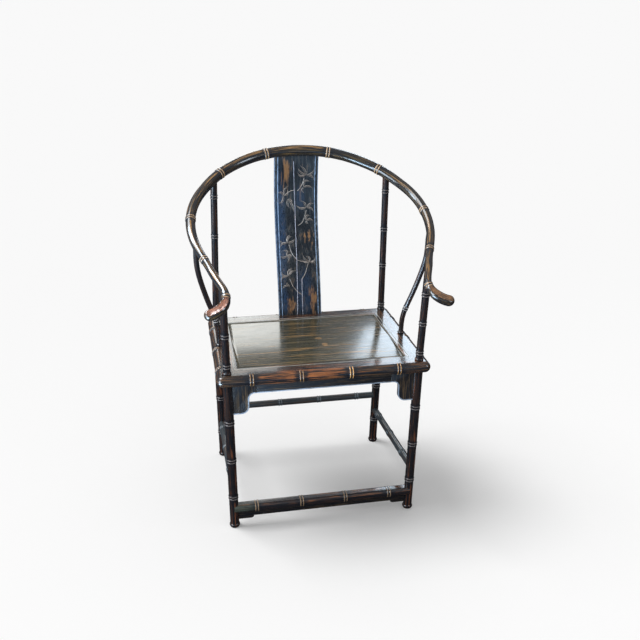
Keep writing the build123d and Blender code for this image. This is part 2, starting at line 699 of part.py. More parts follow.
apron_level = SEAT_BOTTOM - APRON_HEIGHT
front_leg_at = leg_point(True, apron_level)
rear_leg_at = leg_point(False, apron_level)
side_run = rear_leg_at - front_leg_at
side_middle = (front_leg_at + rear_leg_at) * 0.5
side_middle.Z = SEAT_BOTTOM
front_apron_plane = Plane(origin=(0, front_leg_at.Y, SEAT_BOTTOM), x_dir=(1, 0, 0), z_dir=(0, -1, 0))
rear_apron_plane = Plane(origin=(0, rear_leg_at.Y, SEAT_BOTTOM), x_dir=(-1, 0, 0), z_dir=(0, 1, 0))
side_apron_plane = Plane(origin=side_middle, x_dir=side_run, z_dir=side_run.cross(UP))
front_apron, front_left_spandrel, front_right_spandrel = apron_set(front_apron_plane, front_leg_at.X)
rear_apron, rear_right_spandrel, rear_left_spandrel = apron_set(rear_apron_plane, rear_leg_at.X)
side_apron, side_front_spandrel, side_rear_spandrel = apron_set(side_apron_plane, side_run.length / 2)


# ---------------------------------------------------------------- stretchers
def between_axes(start, end, clearance=0.0):
    """The core of a stretcher, whose ends are its tenons: it stops short of both leg axes."""
    direction = (end - start).normalized()
    gap = STRETCHER_TENON_END - clearance
    length = (end - start).length - 2 * gap
    return rod(start + direction * gap, direction, length, STRETCHER_TENON_RADIUS + clearance)


def foot_rail_section(extra=0.0):
    """Section of the foot rail: a flattened round, width along y and height along z."""
    section = RectangleRounded(FOOT_RAIL_WIDTH, FOOT_RAIL_HEIGHT, FOOT_RAIL_CORNER)
    return offset(section, extra) if extra else section


foot_leg_at = leg_point(True, FOOT_RAIL_Z)
foot_plane = Plane(origin=foot_leg_at, x_dir=(0, 1, 0), z_dir=(-1, 0, 0))
foot_rail = foot_plane * extrude(foot_rail_section(), 2 * foot_leg_at.X)
for x in FOOT_RAIL_NODES:
    for ring in (x - RIDGE_SPACING / 2, x + RIDGE_SPACING / 2):
        for side in (-1, 1):
            start = foot_leg_at.X + side * ring - RIDGE_WIDTH / 2
            rounded = extrude(foot_rail_section(RIDGE_HEIGHT), RIDGE_WIDTH)
            rim = rounded.faces().sort_by(Axis.Z)
            rounded = chamfer(rim[0].edges() + rim[-1].edges(), FOOT_RING_CHAMFER)
            foot_rail += foot_plane * Pos(0, 0, start) * rounded

side_start = leg_point(True, SIDE_STRETCHER_FRONT_Z)
side_end = leg_point(False, SIDE_STRETCHER_REAR_Z)
side_length = (side_end - side_start).length
side_stretcher = stick(side_start, side_end, SIDE_STRETCHER_RADIUS,
                       node_ridges([share * side_length for share in SIDE_STRETCHER_NODES]))

rear_end = leg_point(False, REAR_STRETCHER_Z)
rear_start = Vector(-rear_end.X, rear_end.Y, rear_end.Z)
rear_stretcher = stick(rear_start, rear_end, REAR_STRETCHER_RADIUS,
                       node_ridges([rear_end.X + side * x for x in REAR_STRETCHER_NODES for side in (-1, 1)]))

foot_apron_top = FOOT_RAIL_Z - FOOT_RAIL_HEIGHT / 2
cloud_x = foot_leg_at.X - LEG_RADIUS - FOOT_APRON_CLOUD_LENGTH
cloud_bottom = -FOOT_APRON_HEIGHT - FOOT_APRON_CLOUD
cloud_tip = (cloud_x - FOOT_APRON_CLOUD, -FOOT_APRON_HEIGHT)
foot_apron_half = make_face(Curve([
    Polyline((0, 0), (foot_leg_at.X, 0), (foot_leg_at.X, cloud_bottom), (cloud_x, cloud_bottom)),
    RadiusArc((cloud_x, cloud_bottom), cloud_tip, FOOT_APRON_CLOUD),
    Polyline(cloud_tip, (0, -FOOT_APRON_HEIGHT), (0, 0)),
]))
foot_apron_outline = foot_apron_half + mirrored(foot_apron_half)
foot_apron_plane = Plane(origin=(0, foot_leg_at.Y, foot_apron_top), x_dir=(1, 0, 0), z_dir=(0, -1, 0))
foot_apron_board = extrude(foot_apron_outline, FOOT_APRON_THICKNESS / 2, both=True)
foot_apron = foot_apron_plane * foot_apron_board


# ---------------------------------------------------------------- seat panel and battens
def batten(clearance=0.0):
    """The right-hand batten: a bar with a dovetail above it, tenoned into the front and rear members."""
    length = SEAT_DEPTH - 2 * FRAME_WIDTH
    middle_y = SEAT_FRONT_Y + SEAT_DEPTH / 2
    bottom = PANEL_BOTTOM - BATTEN_HEIGHT
    half = BATTEN_WIDTH / 2
    section = make_face(Polyline(
        (-half, bottom),
        (half, bottom),
        (half, PANEL_BOTTOM),
        (half + BATTEN_FLARE, PANEL_BOTTOM + BATTEN_DOVETAIL),
        (-half - BATTEN_FLARE, PANEL_BOTTOM + BATTEN_DOVETAIL),
        (-half, PANEL_BOTTOM),
        close=True))
    plane = Plane(origin=(BATTEN_X, middle_y, 0), x_dir=(1, 0, 0), z_dir=(0, -1, 0))
    tenon_middle = bottom + (BATTEN_HEIGHT - BATTEN_TENON_HEIGHT) / 2 + BATTEN_TENON_HEIGHT / 2
    tenons = Pos(BATTEN_X, middle_y, tenon_middle) * Box(
        BATTEN_TENON_WIDTH + 2 * clearance,
        length + 2 * (BATTEN_TENON_REACH + clearance),
        BATTEN_TENON_HEIGHT + 2 * clearance)
    return plane * extrude(section, length / 2, both=True) + tenons


field_inset = FRAME_WIDTH + PANEL_GAP
tongue_inset = FRAME_WIDTH - TONGUE_DEPTH + PANEL_GAP
seat_panel = seat_plate(field_inset, PANEL_BOTTOM, PANEL_TOP - PANEL_BEVEL_DROP)
seat_panel += loft([seat_plate(inset, level, level + 1).faces().sort_by(Axis.Z)[0]
                    for inset, level in ((field_inset, PANEL_TOP - PANEL_BEVEL_DROP),
                                         (field_inset + PANEL_BEVEL, PANEL_TOP))])
seat_panel += seat_plate(tongue_inset, TONGUE_BOTTOM, TONGUE_BOTTOM + TONGUE_THICKNESS)
right_batten = batten()
seat_panel -= right_batten
seat_panel -= mirrored(right_batten)


# ---------------------------------------------------------------- joints between the pieces
def neck_hole(front):
    """The hole through the seat frame for a post's neck."""
    return rod(leg_point(front, SEAT_BOTTOM), UP, FRAME_THICKNESS, POST_NECK_RADIUS + CLEARANCE)


def cut_both_sides(piece, tool):
    """Cuts a piece that crosses the middle of the chair with a tool and with its mirror image."""
    return piece - tool - mirrored(tool)


def foot_rail_core(clearance=0.0):
    """The bar through the foot rail whose ends are its tenons."""
    length = 2 * (foot_leg_at.X - STRETCHER_TENON_END + clearance)
    core = Box(length, FOOT_TENON_WIDTH + 2 * clearance, FOOT_TENON_HEIGHT + 2 * clearance)
    return Pos(0, foot_leg_at.Y, FOOT_RAIL_Z) * core


# stretchers butt against the legs, with tenons into them
foot_rail = cut_both_sides(foot_rail, front_post) + foot_rail_core()
foot_apron = cut_both_sides(foot_apron, front_post) - foot_rail
side_stretcher = side_stretcher - front_post - rear_post + between_axes(side_start, side_end)
rear_stretcher = cut_both_sides(rear_stretcher, rear_post) + between_axes(rear_start, rear_end)

# the boards at the back are notched for the rings under the rear member
rear_apron -= rear_member
rear_right_spandrel -= rear_member
rear_left_spandrel -= rear_member

# posts: coped and tenoned to the rail, mortised for the stretchers, housed for the boards
front_post = front_post - rail_arm + post_tenon(front=True)
rear_post = rear_post - rail_shoulder + post_tenon(front=False)
side_mortises = between_axes(side_start, side_end, CLEARANCE)
rear_mortises = between_axes(rear_start, rear_end, CLEARANCE)
for let_in in (front_right_spandrel, side_front_spandrel, side_mortises, foot_rail_core(CLEARANCE)):
    front_post -= let_in
for let_in in (rear_right_spandrel, side_rear_spandrel, side_mortises, rear_mortises):
    rear_post -= let_in

# crest rail
rail_arm -= post_tenon(True, CLEARANCE)
rail_shoulder -= post_tenon(False, CLEARANCE)
brace_foot_mortise, brace_top_mortise = brace_tenons(CLEARANCE)
rail_arm -= brace_top_mortise
splat_top_groove, splat_foot_groove = splat_tongues(CLEARANCE)
rail_center -= splat_top_groove

# seat frame
front_hole = neck_hole(front=True)
rear_hole = neck_hole(front=False)
batten_mortise = batten(CLEARANCE)
front_member = cut_both_sides(cut_both_sides(front_member, front_hole), batten_mortise)
rear_member = cut_both_sides(cut_both_sides(rear_member, rear_hole), batten_mortise) - splat_foot_groove
side_member = side_member - front_hole - rear_hole - brace_foot_mortise


# ---------------------------------------------------------------- the pieces
middle_pieces = {
    "crest_rail_center": rail_center,
    "back_splat": splat,
    "seat_frame_front": front_member,
    "seat_frame_rear": rear_member,
    "seat_panel": seat_panel,
    "front_apron": front_apron,
    "rear_apron": rear_apron,
    "front_foot_rail": foot_rail,
    "foot_rail_apron": foot_apron,
    "rear_stretcher": rear_stretcher,
    "front_left_spandrel": front_left_spandrel,
    "front_right_spandrel": front_right_spandrel,
    "rear_left_spandrel": rear_left_spandrel,
    "rear_right_spandrel": rear_right_spandrel,
}
right_pieces = {
    "crest_rail_{}_shoulder": rail_shoulder,
    "crest_rail_{}_arm": rail_arm,
    "front_{}_post": front_post,
    "rear_{}_post": rear_post,
    "{}_side_brace": brace,
    "seat_frame_{}": side_member,
    "{}_seat_batten": right_batten,
    "{}_side_apron": side_apron,
    "{}_side_front_spandrel": side_front_spandrel,
    "{}_side_rear_spandrel": side_rear_spandrel,
    "{}_side_stretcher": side_stretcher,
}
pieces = dict(middle_pieces)
for name, shape in right_pieces.items():
    pieces[name.format("right")] = shape
    pieces[name.format("left")] = mirrored(shape)
pieces["scarf_pins"] = Compound([pin for one in pins for pin in (one, mirrored(one))])
pieces["frame_pegs"] = Compound([peg for one in pegs for peg in (one, mirrored(one))])

# the origin lies under the middle of the chair's overall depth
whole = Compound(list(pieces.values())).bounding_box()
to_middle = Pos(0, -(whole.min.Y + whole.max.Y) / 2, 0)
os.makedirs("parts", exist_ok=True)
for name, shape in pieces.items():
    export_step(to_middle * shape, f"parts/{name}.step")
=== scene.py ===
"""Looks of the horseshoe-back armchair: dark rubbed lacquer over turned imitation bamboo."""

import math

import bmesh
import bpy
import numpy as np
from mathutils import Euler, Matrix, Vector
from mathutils.bvhtree import BVHTree


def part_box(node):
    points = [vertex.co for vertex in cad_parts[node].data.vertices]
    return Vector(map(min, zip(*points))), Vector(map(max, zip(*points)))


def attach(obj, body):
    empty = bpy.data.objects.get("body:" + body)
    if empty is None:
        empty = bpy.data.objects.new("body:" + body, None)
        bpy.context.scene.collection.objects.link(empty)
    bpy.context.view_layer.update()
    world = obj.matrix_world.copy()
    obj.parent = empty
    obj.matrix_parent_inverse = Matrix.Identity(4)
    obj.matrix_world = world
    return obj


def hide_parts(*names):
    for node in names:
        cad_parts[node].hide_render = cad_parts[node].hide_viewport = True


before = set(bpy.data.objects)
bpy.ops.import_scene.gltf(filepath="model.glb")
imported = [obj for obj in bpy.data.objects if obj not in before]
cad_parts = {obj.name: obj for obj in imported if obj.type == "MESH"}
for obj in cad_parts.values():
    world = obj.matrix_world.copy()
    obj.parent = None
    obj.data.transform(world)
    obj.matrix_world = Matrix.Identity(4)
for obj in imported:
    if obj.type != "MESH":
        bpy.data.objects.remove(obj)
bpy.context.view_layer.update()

MM = 0.001
WELD = 0.01 * MM
UP, FRONT, REAR = Vector((0.0, 0.0, 1.0)), Vector((0.0, -1.0, 0.0)), Vector((0.0, 1.0, 0.0))
SIDEWAYS, DEPTHWISE, UPRIGHT = 0, 1, 2             # the axes

# ---------------------------------------------------------------- sizes shared with the frame
SEAT_TOP = 490 * MM
SEAT_UNDERSIDE = 458 * MM
SEAT_FRONT_WIDTH = 594 * MM
SEAT_REAR_WIDTH = 578 * MM
EDGE_RADIUS = 16 * MM              # half round outer edge of the seat frame
FRAME_WIDTH = 60 * MM
FRAME_LINE_INSET = 9 * MM          # the incised line, from the frame's inner edge
SPLAT_BEAD_AT = 57 * MM            # from the splat's middle
SPLAT_RIM_AT = 66.5 * MM           # the splat's outer rim, from its middle
BEAD_HEIGHT = 1.2 * MM
RING_HEIGHT = 1.3 * MM
RING_OFFSET = 4 * MM               # each ring of a node from the node's middle
RAIL_HALF_LENGTH = 852 * MM
RAIL_TIP = 8 * MM                  # the rounded end of the rail, where its middle can't be measured
BRACE_LENGTH = 330 * MM
SIDE_STRETCHER_LEVELS = (145 * MM, 121 * MM)     # at the front leg and at the rear leg
REAR_STRETCHER_LEVEL = 178 * MM
FOOT_RAIL_LEVEL = 61 * MM
NO_NODE = 1.0                      # distance given to surfaces that have no bamboo node
SEAT_FRONT_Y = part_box("seat_frame_front")[0].y + RING_HEIGHT
SEAT_REAR_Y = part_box("seat_frame_rear")[1].y - RING_HEIGHT

# where the nodes are, along each stick, in millimetres
RAIL_NODES = (95, 257, 468, 629, 779)
FRONT_POST_NODES = (100, 221.5, 342, 513.5, 601, 686.5)
REAR_POST_NODES = (87.5, 214, 340, 508, 641.5, 758.5, 877.5)
BRACE_NODES = (84,)
FOOT_RAIL_NODES = (-197, -65, 65, 197)
REAR_STRETCHER_NODES = (-193, -65, 65, 193)
EDGE_NODES = (-204, -69, 69, 204)
SIDE_EDGE_NODES = (-148, -18, 132)
SIDE_STRETCHER_NODES = (0.2, 0.54, 0.87)         # shares of its length, from the front

# ---------------------------------------------------------------- camera
CAMERA_PLACE = (-0.4195, -2.1524, 1.4492)
CAMERA_TURN = (65.638, -0.846, -11.559)        # degrees
FOCAL_PIXELS = 814.15
IMAGE_PIXELS = 640
SENSOR_WIDTH = 36.0
LENS_CENTRE = (323.72, 349.49)                 # pixels from the image's top left corner

camera_data = bpy.data.cameras.new("camera")
camera_data.sensor_width = SENSOR_WIDTH
camera_data.lens = FOCAL_PIXELS / IMAGE_PIXELS * SENSOR_WIDTH
camera_data.shift_x = (IMAGE_PIXELS / 2 - LENS_CENTRE[0]) / IMAGE_PIXELS
camera_data.shift_y = (LENS_CENTRE[1] - IMAGE_PIXELS / 2) / IMAGE_PIXELS
camera = bpy.data.objects.new("camera", camera_data)
camera.location = CAMERA_PLACE
camera.rotation_euler = Euler([math.radians(angle) for angle in CAMERA_TURN])
bpy.context.scene.collection.objects.link(camera)
bpy.context.scene.camera = camera


# ---------------------------------------------------------------- node trees
class Recipe:
    """A shader node tree that is put together step by step."""

    def __init__(self, tree):
        self.tree = tree

    def put(self, value, socket):
        if isinstance(value, bpy.types.NodeSocket):
            self.tree.links.new(value, socket)
        else:
            socket.default_value = value

    def add(self, kind, inputs=None, **settings):
        node = self.tree.nodes.new(kind)
        for key, value in settings.items():
            setattr(node, key, value)
        for key, value in (inputs or {}).items():
            self.put(value, node.inputs[key])
        return node

    def math(self, operation, first, second=0.0, clamp=False):
        values = {0: first, 1: second}
        return self.add("ShaderNodeMath", values, operation=operation, use_clamp=clamp).outputs[0]

    def vector(self, operation, first, second):
        return self.add("ShaderNodeVectorMath", {0: first, 1: second}, operation=operation).outputs[0]

    def mix(self, share, first, second):
        return self.add("ShaderNodeMix", {0: share, 6: first, 7: second}, data_type="RGBA").outputs[2]

    def ramp(self, value, low, high, start=0.0, end=1.0):
        """A smooth step from start to end while the value goes from low to high."""
        return self.add("ShaderNodeMapRange", {0: value, 1: low, 2: high, 3: start, 4: end},
                        interpolation_type="SMOOTHSTEP").outputs[0]

    def noise(self, place, scale, detail=3.0, roughness=0.55):
        return self.add("ShaderNodeTexNoise", {"Vector": place, "Scale": scale, "Detail": detail,
                                               "Roughness": roughness}).outputs[0]

    def attribute(self, name, output="Fac"):
        return self.add("ShaderNodeAttribute", attribute_name=name).outputs[output]

    def split(self, vector):
        """The x, y and z of a vector."""
        return self.add("ShaderNodeSeparateXYZ", {0: vector}).outputs

    def group(self, tree, inputs):
        """Places a node group with its inputs, and gives its outputs."""
        return self.add("ShaderNodeGroup", inputs, node_tree=tree).outputs


def effect_group(name, inputs, outputs):
    """An empty node group with named sockets; inputs and outputs are (name, type) pairs."""
    tree = bpy.data.node_groups.new(name, "ShaderNodeTree")
    for socket_name, kind in inputs:
        tree.interface.new_socket(socket_name, in_out="INPUT", socket_type=kind)
    for socket_name, kind in outputs:
        tree.interface.new_socket(socket_name, in_out="OUTPUT", socket_type=kind)
    recipe = Recipe(tree)
    return recipe, recipe.add("NodeGroupInput").outputs, recipe.add("NodeGroupOutput").inputs


STREAKS_FADE, PATCHES_FADE = (0.42, 0.66), (0.40, 0.64)        # the noise over which they fade in
FIBRE_SCALE, PATCH_SCALE = 3.0, 0.23                           # how fine they are beside the streaks
# shares of the width or reach over which a ring, the dark beside a node and a rubbed place fade out
RING_FADE, DARK_FADE, PLACE_FADE = (0.45, 1.05), (0.45, 1.1), (0.35, 1.0)


def grain_group():
    """Streaks, fine fibres and broad patches that run along a piece."""
    recipe, given, result = effect_group(
        "lacquer_grain",
        [("Grain", "NodeSocketVector"), ("Across", "NodeSocketFloat"), ("Along", "NodeSocketFloat")],
        [("Streaks", "NodeSocketFloat"), ("Fibres", "NodeSocketFloat"), ("Patches", "NodeSocketFloat")])
    stretch = recipe.add("ShaderNodeCombineXYZ", {0: given["Across"], 1: given["Across"], 2: given["Along"]})
    place = recipe.vector("MULTIPLY", given["Grain"], stretch.outputs[0])
    recipe.put(recipe.ramp(recipe.noise(place, 1.0), *STREAKS_FADE), result["Streaks"])
    recipe.put(recipe.noise(place, FIBRE_SCALE, detail=4.0, roughness=0.7), result["Fibres"])
    recipe.put(recipe.ramp(recipe.noise(place, PATCH_SCALE, detail=2.0), *PATCHES_FADE), result["Patches"])
    return recipe.tree


def rings_group():
    """The two rings of a bamboo node and the darker stretch beside them, from the distance to the node."""
    recipe, given, result = effect_group(
        "node_rings",
        [("Distance", "NodeSocketFloat"), ("Offset", "NodeSocketFloat"), ("Half Width", "NodeSocketFloat"),
         ("Halo", "NodeSocketFloat"), ("Unevenness", "NodeSocketFloat")],
        [("Rings", "NodeSocketFloat"), ("Dark", "NodeSocketFloat")])
    from_ring = recipe.math("ABSOLUTE", recipe.math("SUBTRACT", given["Distance"], given["Offset"]))
    share = recipe.math("DIVIDE", from_ring, given["Half Width"])
    recipe.put(recipe.ramp(share, *RING_FADE, 1.0, 0.0), result["Rings"])
    reach = recipe.math("MULTIPLY", given["Halo"], recipe.math("ADD", given["Unevenness"], 0.5))
    share = recipe.math("DIVIDE", given["Distance"], reach)
    recipe.put(recipe.ramp(share, *DARK_FADE, 1.0, 0.0), result["Dark"])
    return recipe.tree


def rubbed_place_group():
    """Adds one place where hands or feet have rubbed the lacquer through to what the mask holds already."""
    recipe, given, result = effect_group(
        "rubbed_place",
        [("Before", "NodeSocketFloat"), ("Point", "NodeSocketVector"), ("Place", "NodeSocketVector"),
         ("Reach", "NodeSocketVector"), ("Amount", "NodeSocketFloat")],
        [("Mask", "NodeSocketFloat")])
    offset = recipe.vector("SUBTRACT", given["Point"], given["Place"])
    share = recipe.add("ShaderNodeVectorMath", {0: recipe.vector("DIVIDE", offset, given["Reach"])},
                       operation="LENGTH").outputs["Value"]
    here = recipe.math("MULTIPLY", recipe.ramp(share, *PLACE_FADE, 1.0, 0.0), given["Amount"])
    recipe.put(recipe.math("ADD", given["Before"], here, clamp=True), result["Mask"])
    return recipe.tree


GRAIN = grain_group()
RINGS = rings_group()
RUBBED_PLACE = rubbed_place_group()


# ---------------------------------------------------------------- finishes
def color(red, green, blue):
    """An opaque colour."""
    return (red, green, blue, 1.0)


def grey(level):
    return color(level, level, level)


LACQUER = {
    "dark": color(0.006, 0.007, 0.010),
    "brown": color(0.050, 0.022, 0.010),
    "rubbed": color(0.30, 0.115, 0.038),
    "ring": color(0.40, 0.25, 0.14),
    "worn": color(0.44, 0.19, 0.085),      # where hands have rubbed the grip bare
    "worn_dark": color(0.10, 0.040, 0.020),
    "line": color(0.30, 0.36, 0.45),       # painted highlight on the crests of beads and the edges of incised lines, partly real wear
    "grain": (230.0, 14.0),        # how fine the streaks are across and along the piece, per metre
    "brown_share": 0.6,
    "rubbed_share": 0.2,           # how far it is rubbed through everywhere, at most
    "rubbed_most": 0.85,           # how much of the ground shows where it is rubbed through
    "top_wear": 0.35,              # more of it on surfaces that face up
    "ring_share": 0.8,
    "ring_width": 1.9 * MM,
    "line_share": 0.8,
    "halo": 24 * MM,
    "roughness": (0.22, 0.40),
    "coat": 0.5,
    "relief": 0.10 * MM,
    # colour of a painted sheen, a reflection put into the lacquer's colour
    "tint": color(0.02, 0.05, 0.11),
    "tints": (),                   # (place, reach, amount) of spots with a painted sheen
    "places": (),                  # (place, reach, amount) of rubbed spots
    "bright_rings": (),            # (place, reach, amount) of rings that are rubbed brighter
    "lines": (),                   # (distance from the piece's middle, half width) of painted highlight lines along the piece, partly real wear
    "lines_face": (0.0, 0.0, 1.0),     # painted highlight lines and painted sheen are on the surfaces that face this way
}

# what all finishes have in common
UPWARDS = (-0.1, 0.9)              # upward part of the normal, from no wear of tops to all of it
SIDE_FACING = (0.2, 0.7)           # part of the normal that faces a finish's lines_face, from none to all
NODE_SHELTER = 0.85                # how much wear the dark stretch beside a node is spared
STREAK_WEIGHT = 0.8                # of the streaks beside the fibres, where the lacquer is rubbed through
RUBBED = (1.15, 1.85)              # sum of wear, fibres and streaks, from whole lacquer to the ground
SHEEN_TINT_FIBRES = (0.3, 0.6)           # strength of the fibres, from no painted sheen to all of it, and so on
WORN_FIBRES = (0.40, 0.62)
RING_FIBRES, RING_LEAST = (0.25, 0.65), 0.35       # a ring keeps this share where the fibres are weak
LINE_FIBRES, LINE_LEAST = (0.35, 0.6), 0.3
ROUGH_FIBRES = (0.3, 0.7)
BARE_ROUGHNESS = 0.42
COAT_ROUGHNESS = 0.12
RUBBED_DEPTH = 0.6                 # how deep rubbed places lie, as a share of the relief


def lacquer(name, **changes):
    """A finish: streaks of brown and of rubbed-through ground under dark lacquer, pale rings, painted
    highlight lines and a painted sheen.
    """
    look = {**LACQUER, **changes}
    material = bpy.data.materials.new(name)
    material.use_nodes = True
    recipe = Recipe(material.node_tree)
    shader = material.node_tree.nodes["Principled BSDF"]
    grain_at = recipe.attribute("grain", "Vector")
    # crest holds where the painted highlight lies on bead and carving crests
    node_at, bare, line = (recipe.attribute(key) for key in ("node", "bare", "crest"))
    point = recipe.add("ShaderNodeTexCoord").outputs["Object"]
    normal = recipe.add("ShaderNodeNewGeometry").outputs["Normal"]
    across, along = look["grain"]
    grain = recipe.group(GRAIN, {"Grain": grain_at, "Across": across, "Along": along})
    streaks, fibres, patches = (grain[key] for key in ("Streaks", "Fibres", "Patches"))
    rings = recipe.group(RINGS, {"Distance": node_at, "Offset": RING_OFFSET, "Half Width": look["ring_width"],
                                 "Halo": look["halo"], "Unevenness": fibres})

    def with_places(mask, places):
        for place, reach, amount in places:
            spot = {"Before": mask, "Point": point, "Place": place, "Reach": reach, "Amount": amount}
            mask = recipe.group(RUBBED_PLACE, spot)["Mask"]
        return mask

    # how far the lacquer is rubbed through
    wear = recipe.math("MULTIPLY", recipe.ramp(recipe.split(normal)[2], *UPWARDS), look["top_wear"])
    wear = recipe.math("MULTIPLY", recipe.math("ADD", wear, look["rubbed_share"]), patches)
    wear = with_places(wear, look["places"])
    clean = recipe.math("SUBTRACT", 1.0, recipe.math("MULTIPLY", rings["Dark"], NODE_SHELTER))
    wear = recipe.math("MULTIPLY", wear, clean)
    uneven = recipe.math("ADD", fibres, recipe.math("MULTIPLY", streaks, STREAK_WEIGHT))
    through = recipe.ramp(recipe.math("ADD", wear, uneven), *RUBBED, 0.0, look["rubbed_most"])

    brownish = recipe.math("MULTIPLY", recipe.math("MULTIPLY", streaks, look["brown_share"]), clean)
    base = recipe.mix(brownish, look["dark"], look["brown"])
    facing = recipe.add("ShaderNodeVectorMath", {0: normal, 1: look["lines_face"]}, operation="DOT_PRODUCT")
    facing = recipe.ramp(facing.outputs["Value"], *SIDE_FACING)
    # painted sheen: a painted reflection put into the colour at some places, on the surfaces that face
    # lines_face
    tinted = recipe.math("MULTIPLY", with_places(0.0, look["tints"]), recipe.ramp(fibres, *SHEEN_TINT_FIBRES))
    base = recipe.mix(recipe.math("MULTIPLY", tinted, facing), base, look["tint"])
    base = recipe.mix(through, base, look["rubbed"])
    worn = recipe.mix(recipe.ramp(fibres, *WORN_FIBRES), look["worn_dark"], look["worn"])
    base = recipe.mix(bare, base, worn)

    # pale rings at the nodes, and painted highlights on crests and along lines, partly real wear
    most = look["ring_share"]
    ring_share = with_places(recipe.ramp(fibres, *RING_FIBRES, RING_LEAST * most, most), look["bright_rings"])
    base = recipe.mix(recipe.math("MULTIPLY", rings["Rings"], ring_share), base, look["ring"])
    aside = recipe.math("ABSOLUTE", recipe.split(grain_at)[0])
    for at, half_width in look["lines"]:
        from_line = recipe.math("ABSOLUTE", recipe.math("SUBTRACT", aside, at))
        here = recipe.ramp(from_line, 0.5 * half_width, half_width, 1.0, 0.0)
        line = recipe.math("MAXIMUM", line, recipe.math("MULTIPLY", here, facing))
    line_share = recipe.math("MULTIPLY", line, recipe.ramp(fibres, *LINE_FIBRES, LINE_LEAST, 1.0))
    base = recipe.mix(recipe.math("MULTIPLY", line_share, look["line_share"]), base, look["line"])
    recipe.put(base, shader.inputs["Base Color"])

    smooth, dull = look["roughness"]
    roughness = recipe.ramp(fibres, *ROUGH_FIBRES, smooth, dull)
    bare_roughness = recipe.math("MULTIPLY", bare, BARE_ROUGHNESS)
    recipe.put(recipe.math("MAXIMUM", roughness, bare_roughness), shader.inputs["Roughness"])
    shader.inputs["Coat Weight"].default_value = look["coat"]
    shader.inputs["Coat Roughness"].default_value = COAT_ROUGHNESS
    height = recipe.math("SUBTRACT", fibres, recipe.math("MULTIPLY", through, RUBBED_DEPTH))
    height = recipe.math("MULTIPLY", height, look["relief"])
    bump = recipe.add("ShaderNodeBump", {"Strength": 1.0, "Distance": 1.0, "Height": height})
    recipe.put(bump.outputs[0], shader.inputs["Normal"])
    return material


FOOT_RAIL_END = (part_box("front_foot_rail")[0].x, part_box("front_foot_rail")[0].y, FOOT_RAIL_LEVEL)
SPLAT_MIDDLE_Y = (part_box("back_splat")[0].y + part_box("back_splat")[1].y) / 2
FRONT_EDGE_LOOK_LEVEL = SEAT_TOP - 8 * MM          # where the front edge shows its wear
THROUGH = 0.2                      # reach of a splat's place from front to back, past both faces


def on_board(x, z):
    """A place on the splat, from millimetres beside its middle and above the seat."""
    return (x * MM, SPLAT_MIDDLE_Y, SEAT_TOP + z * MM)


def on_front_edge(x):
    """A place on the seat's front edge, from millimetres beside its middle."""
    return (x * MM, SEAT_FRONT_Y, FRONT_EDGE_LOOK_LEVEL)


def on_panel(x, y):
    """A place on the seat panel, from millimetres beside and behind its middle."""
    return (x * MM, y * MM, SEAT_TOP)


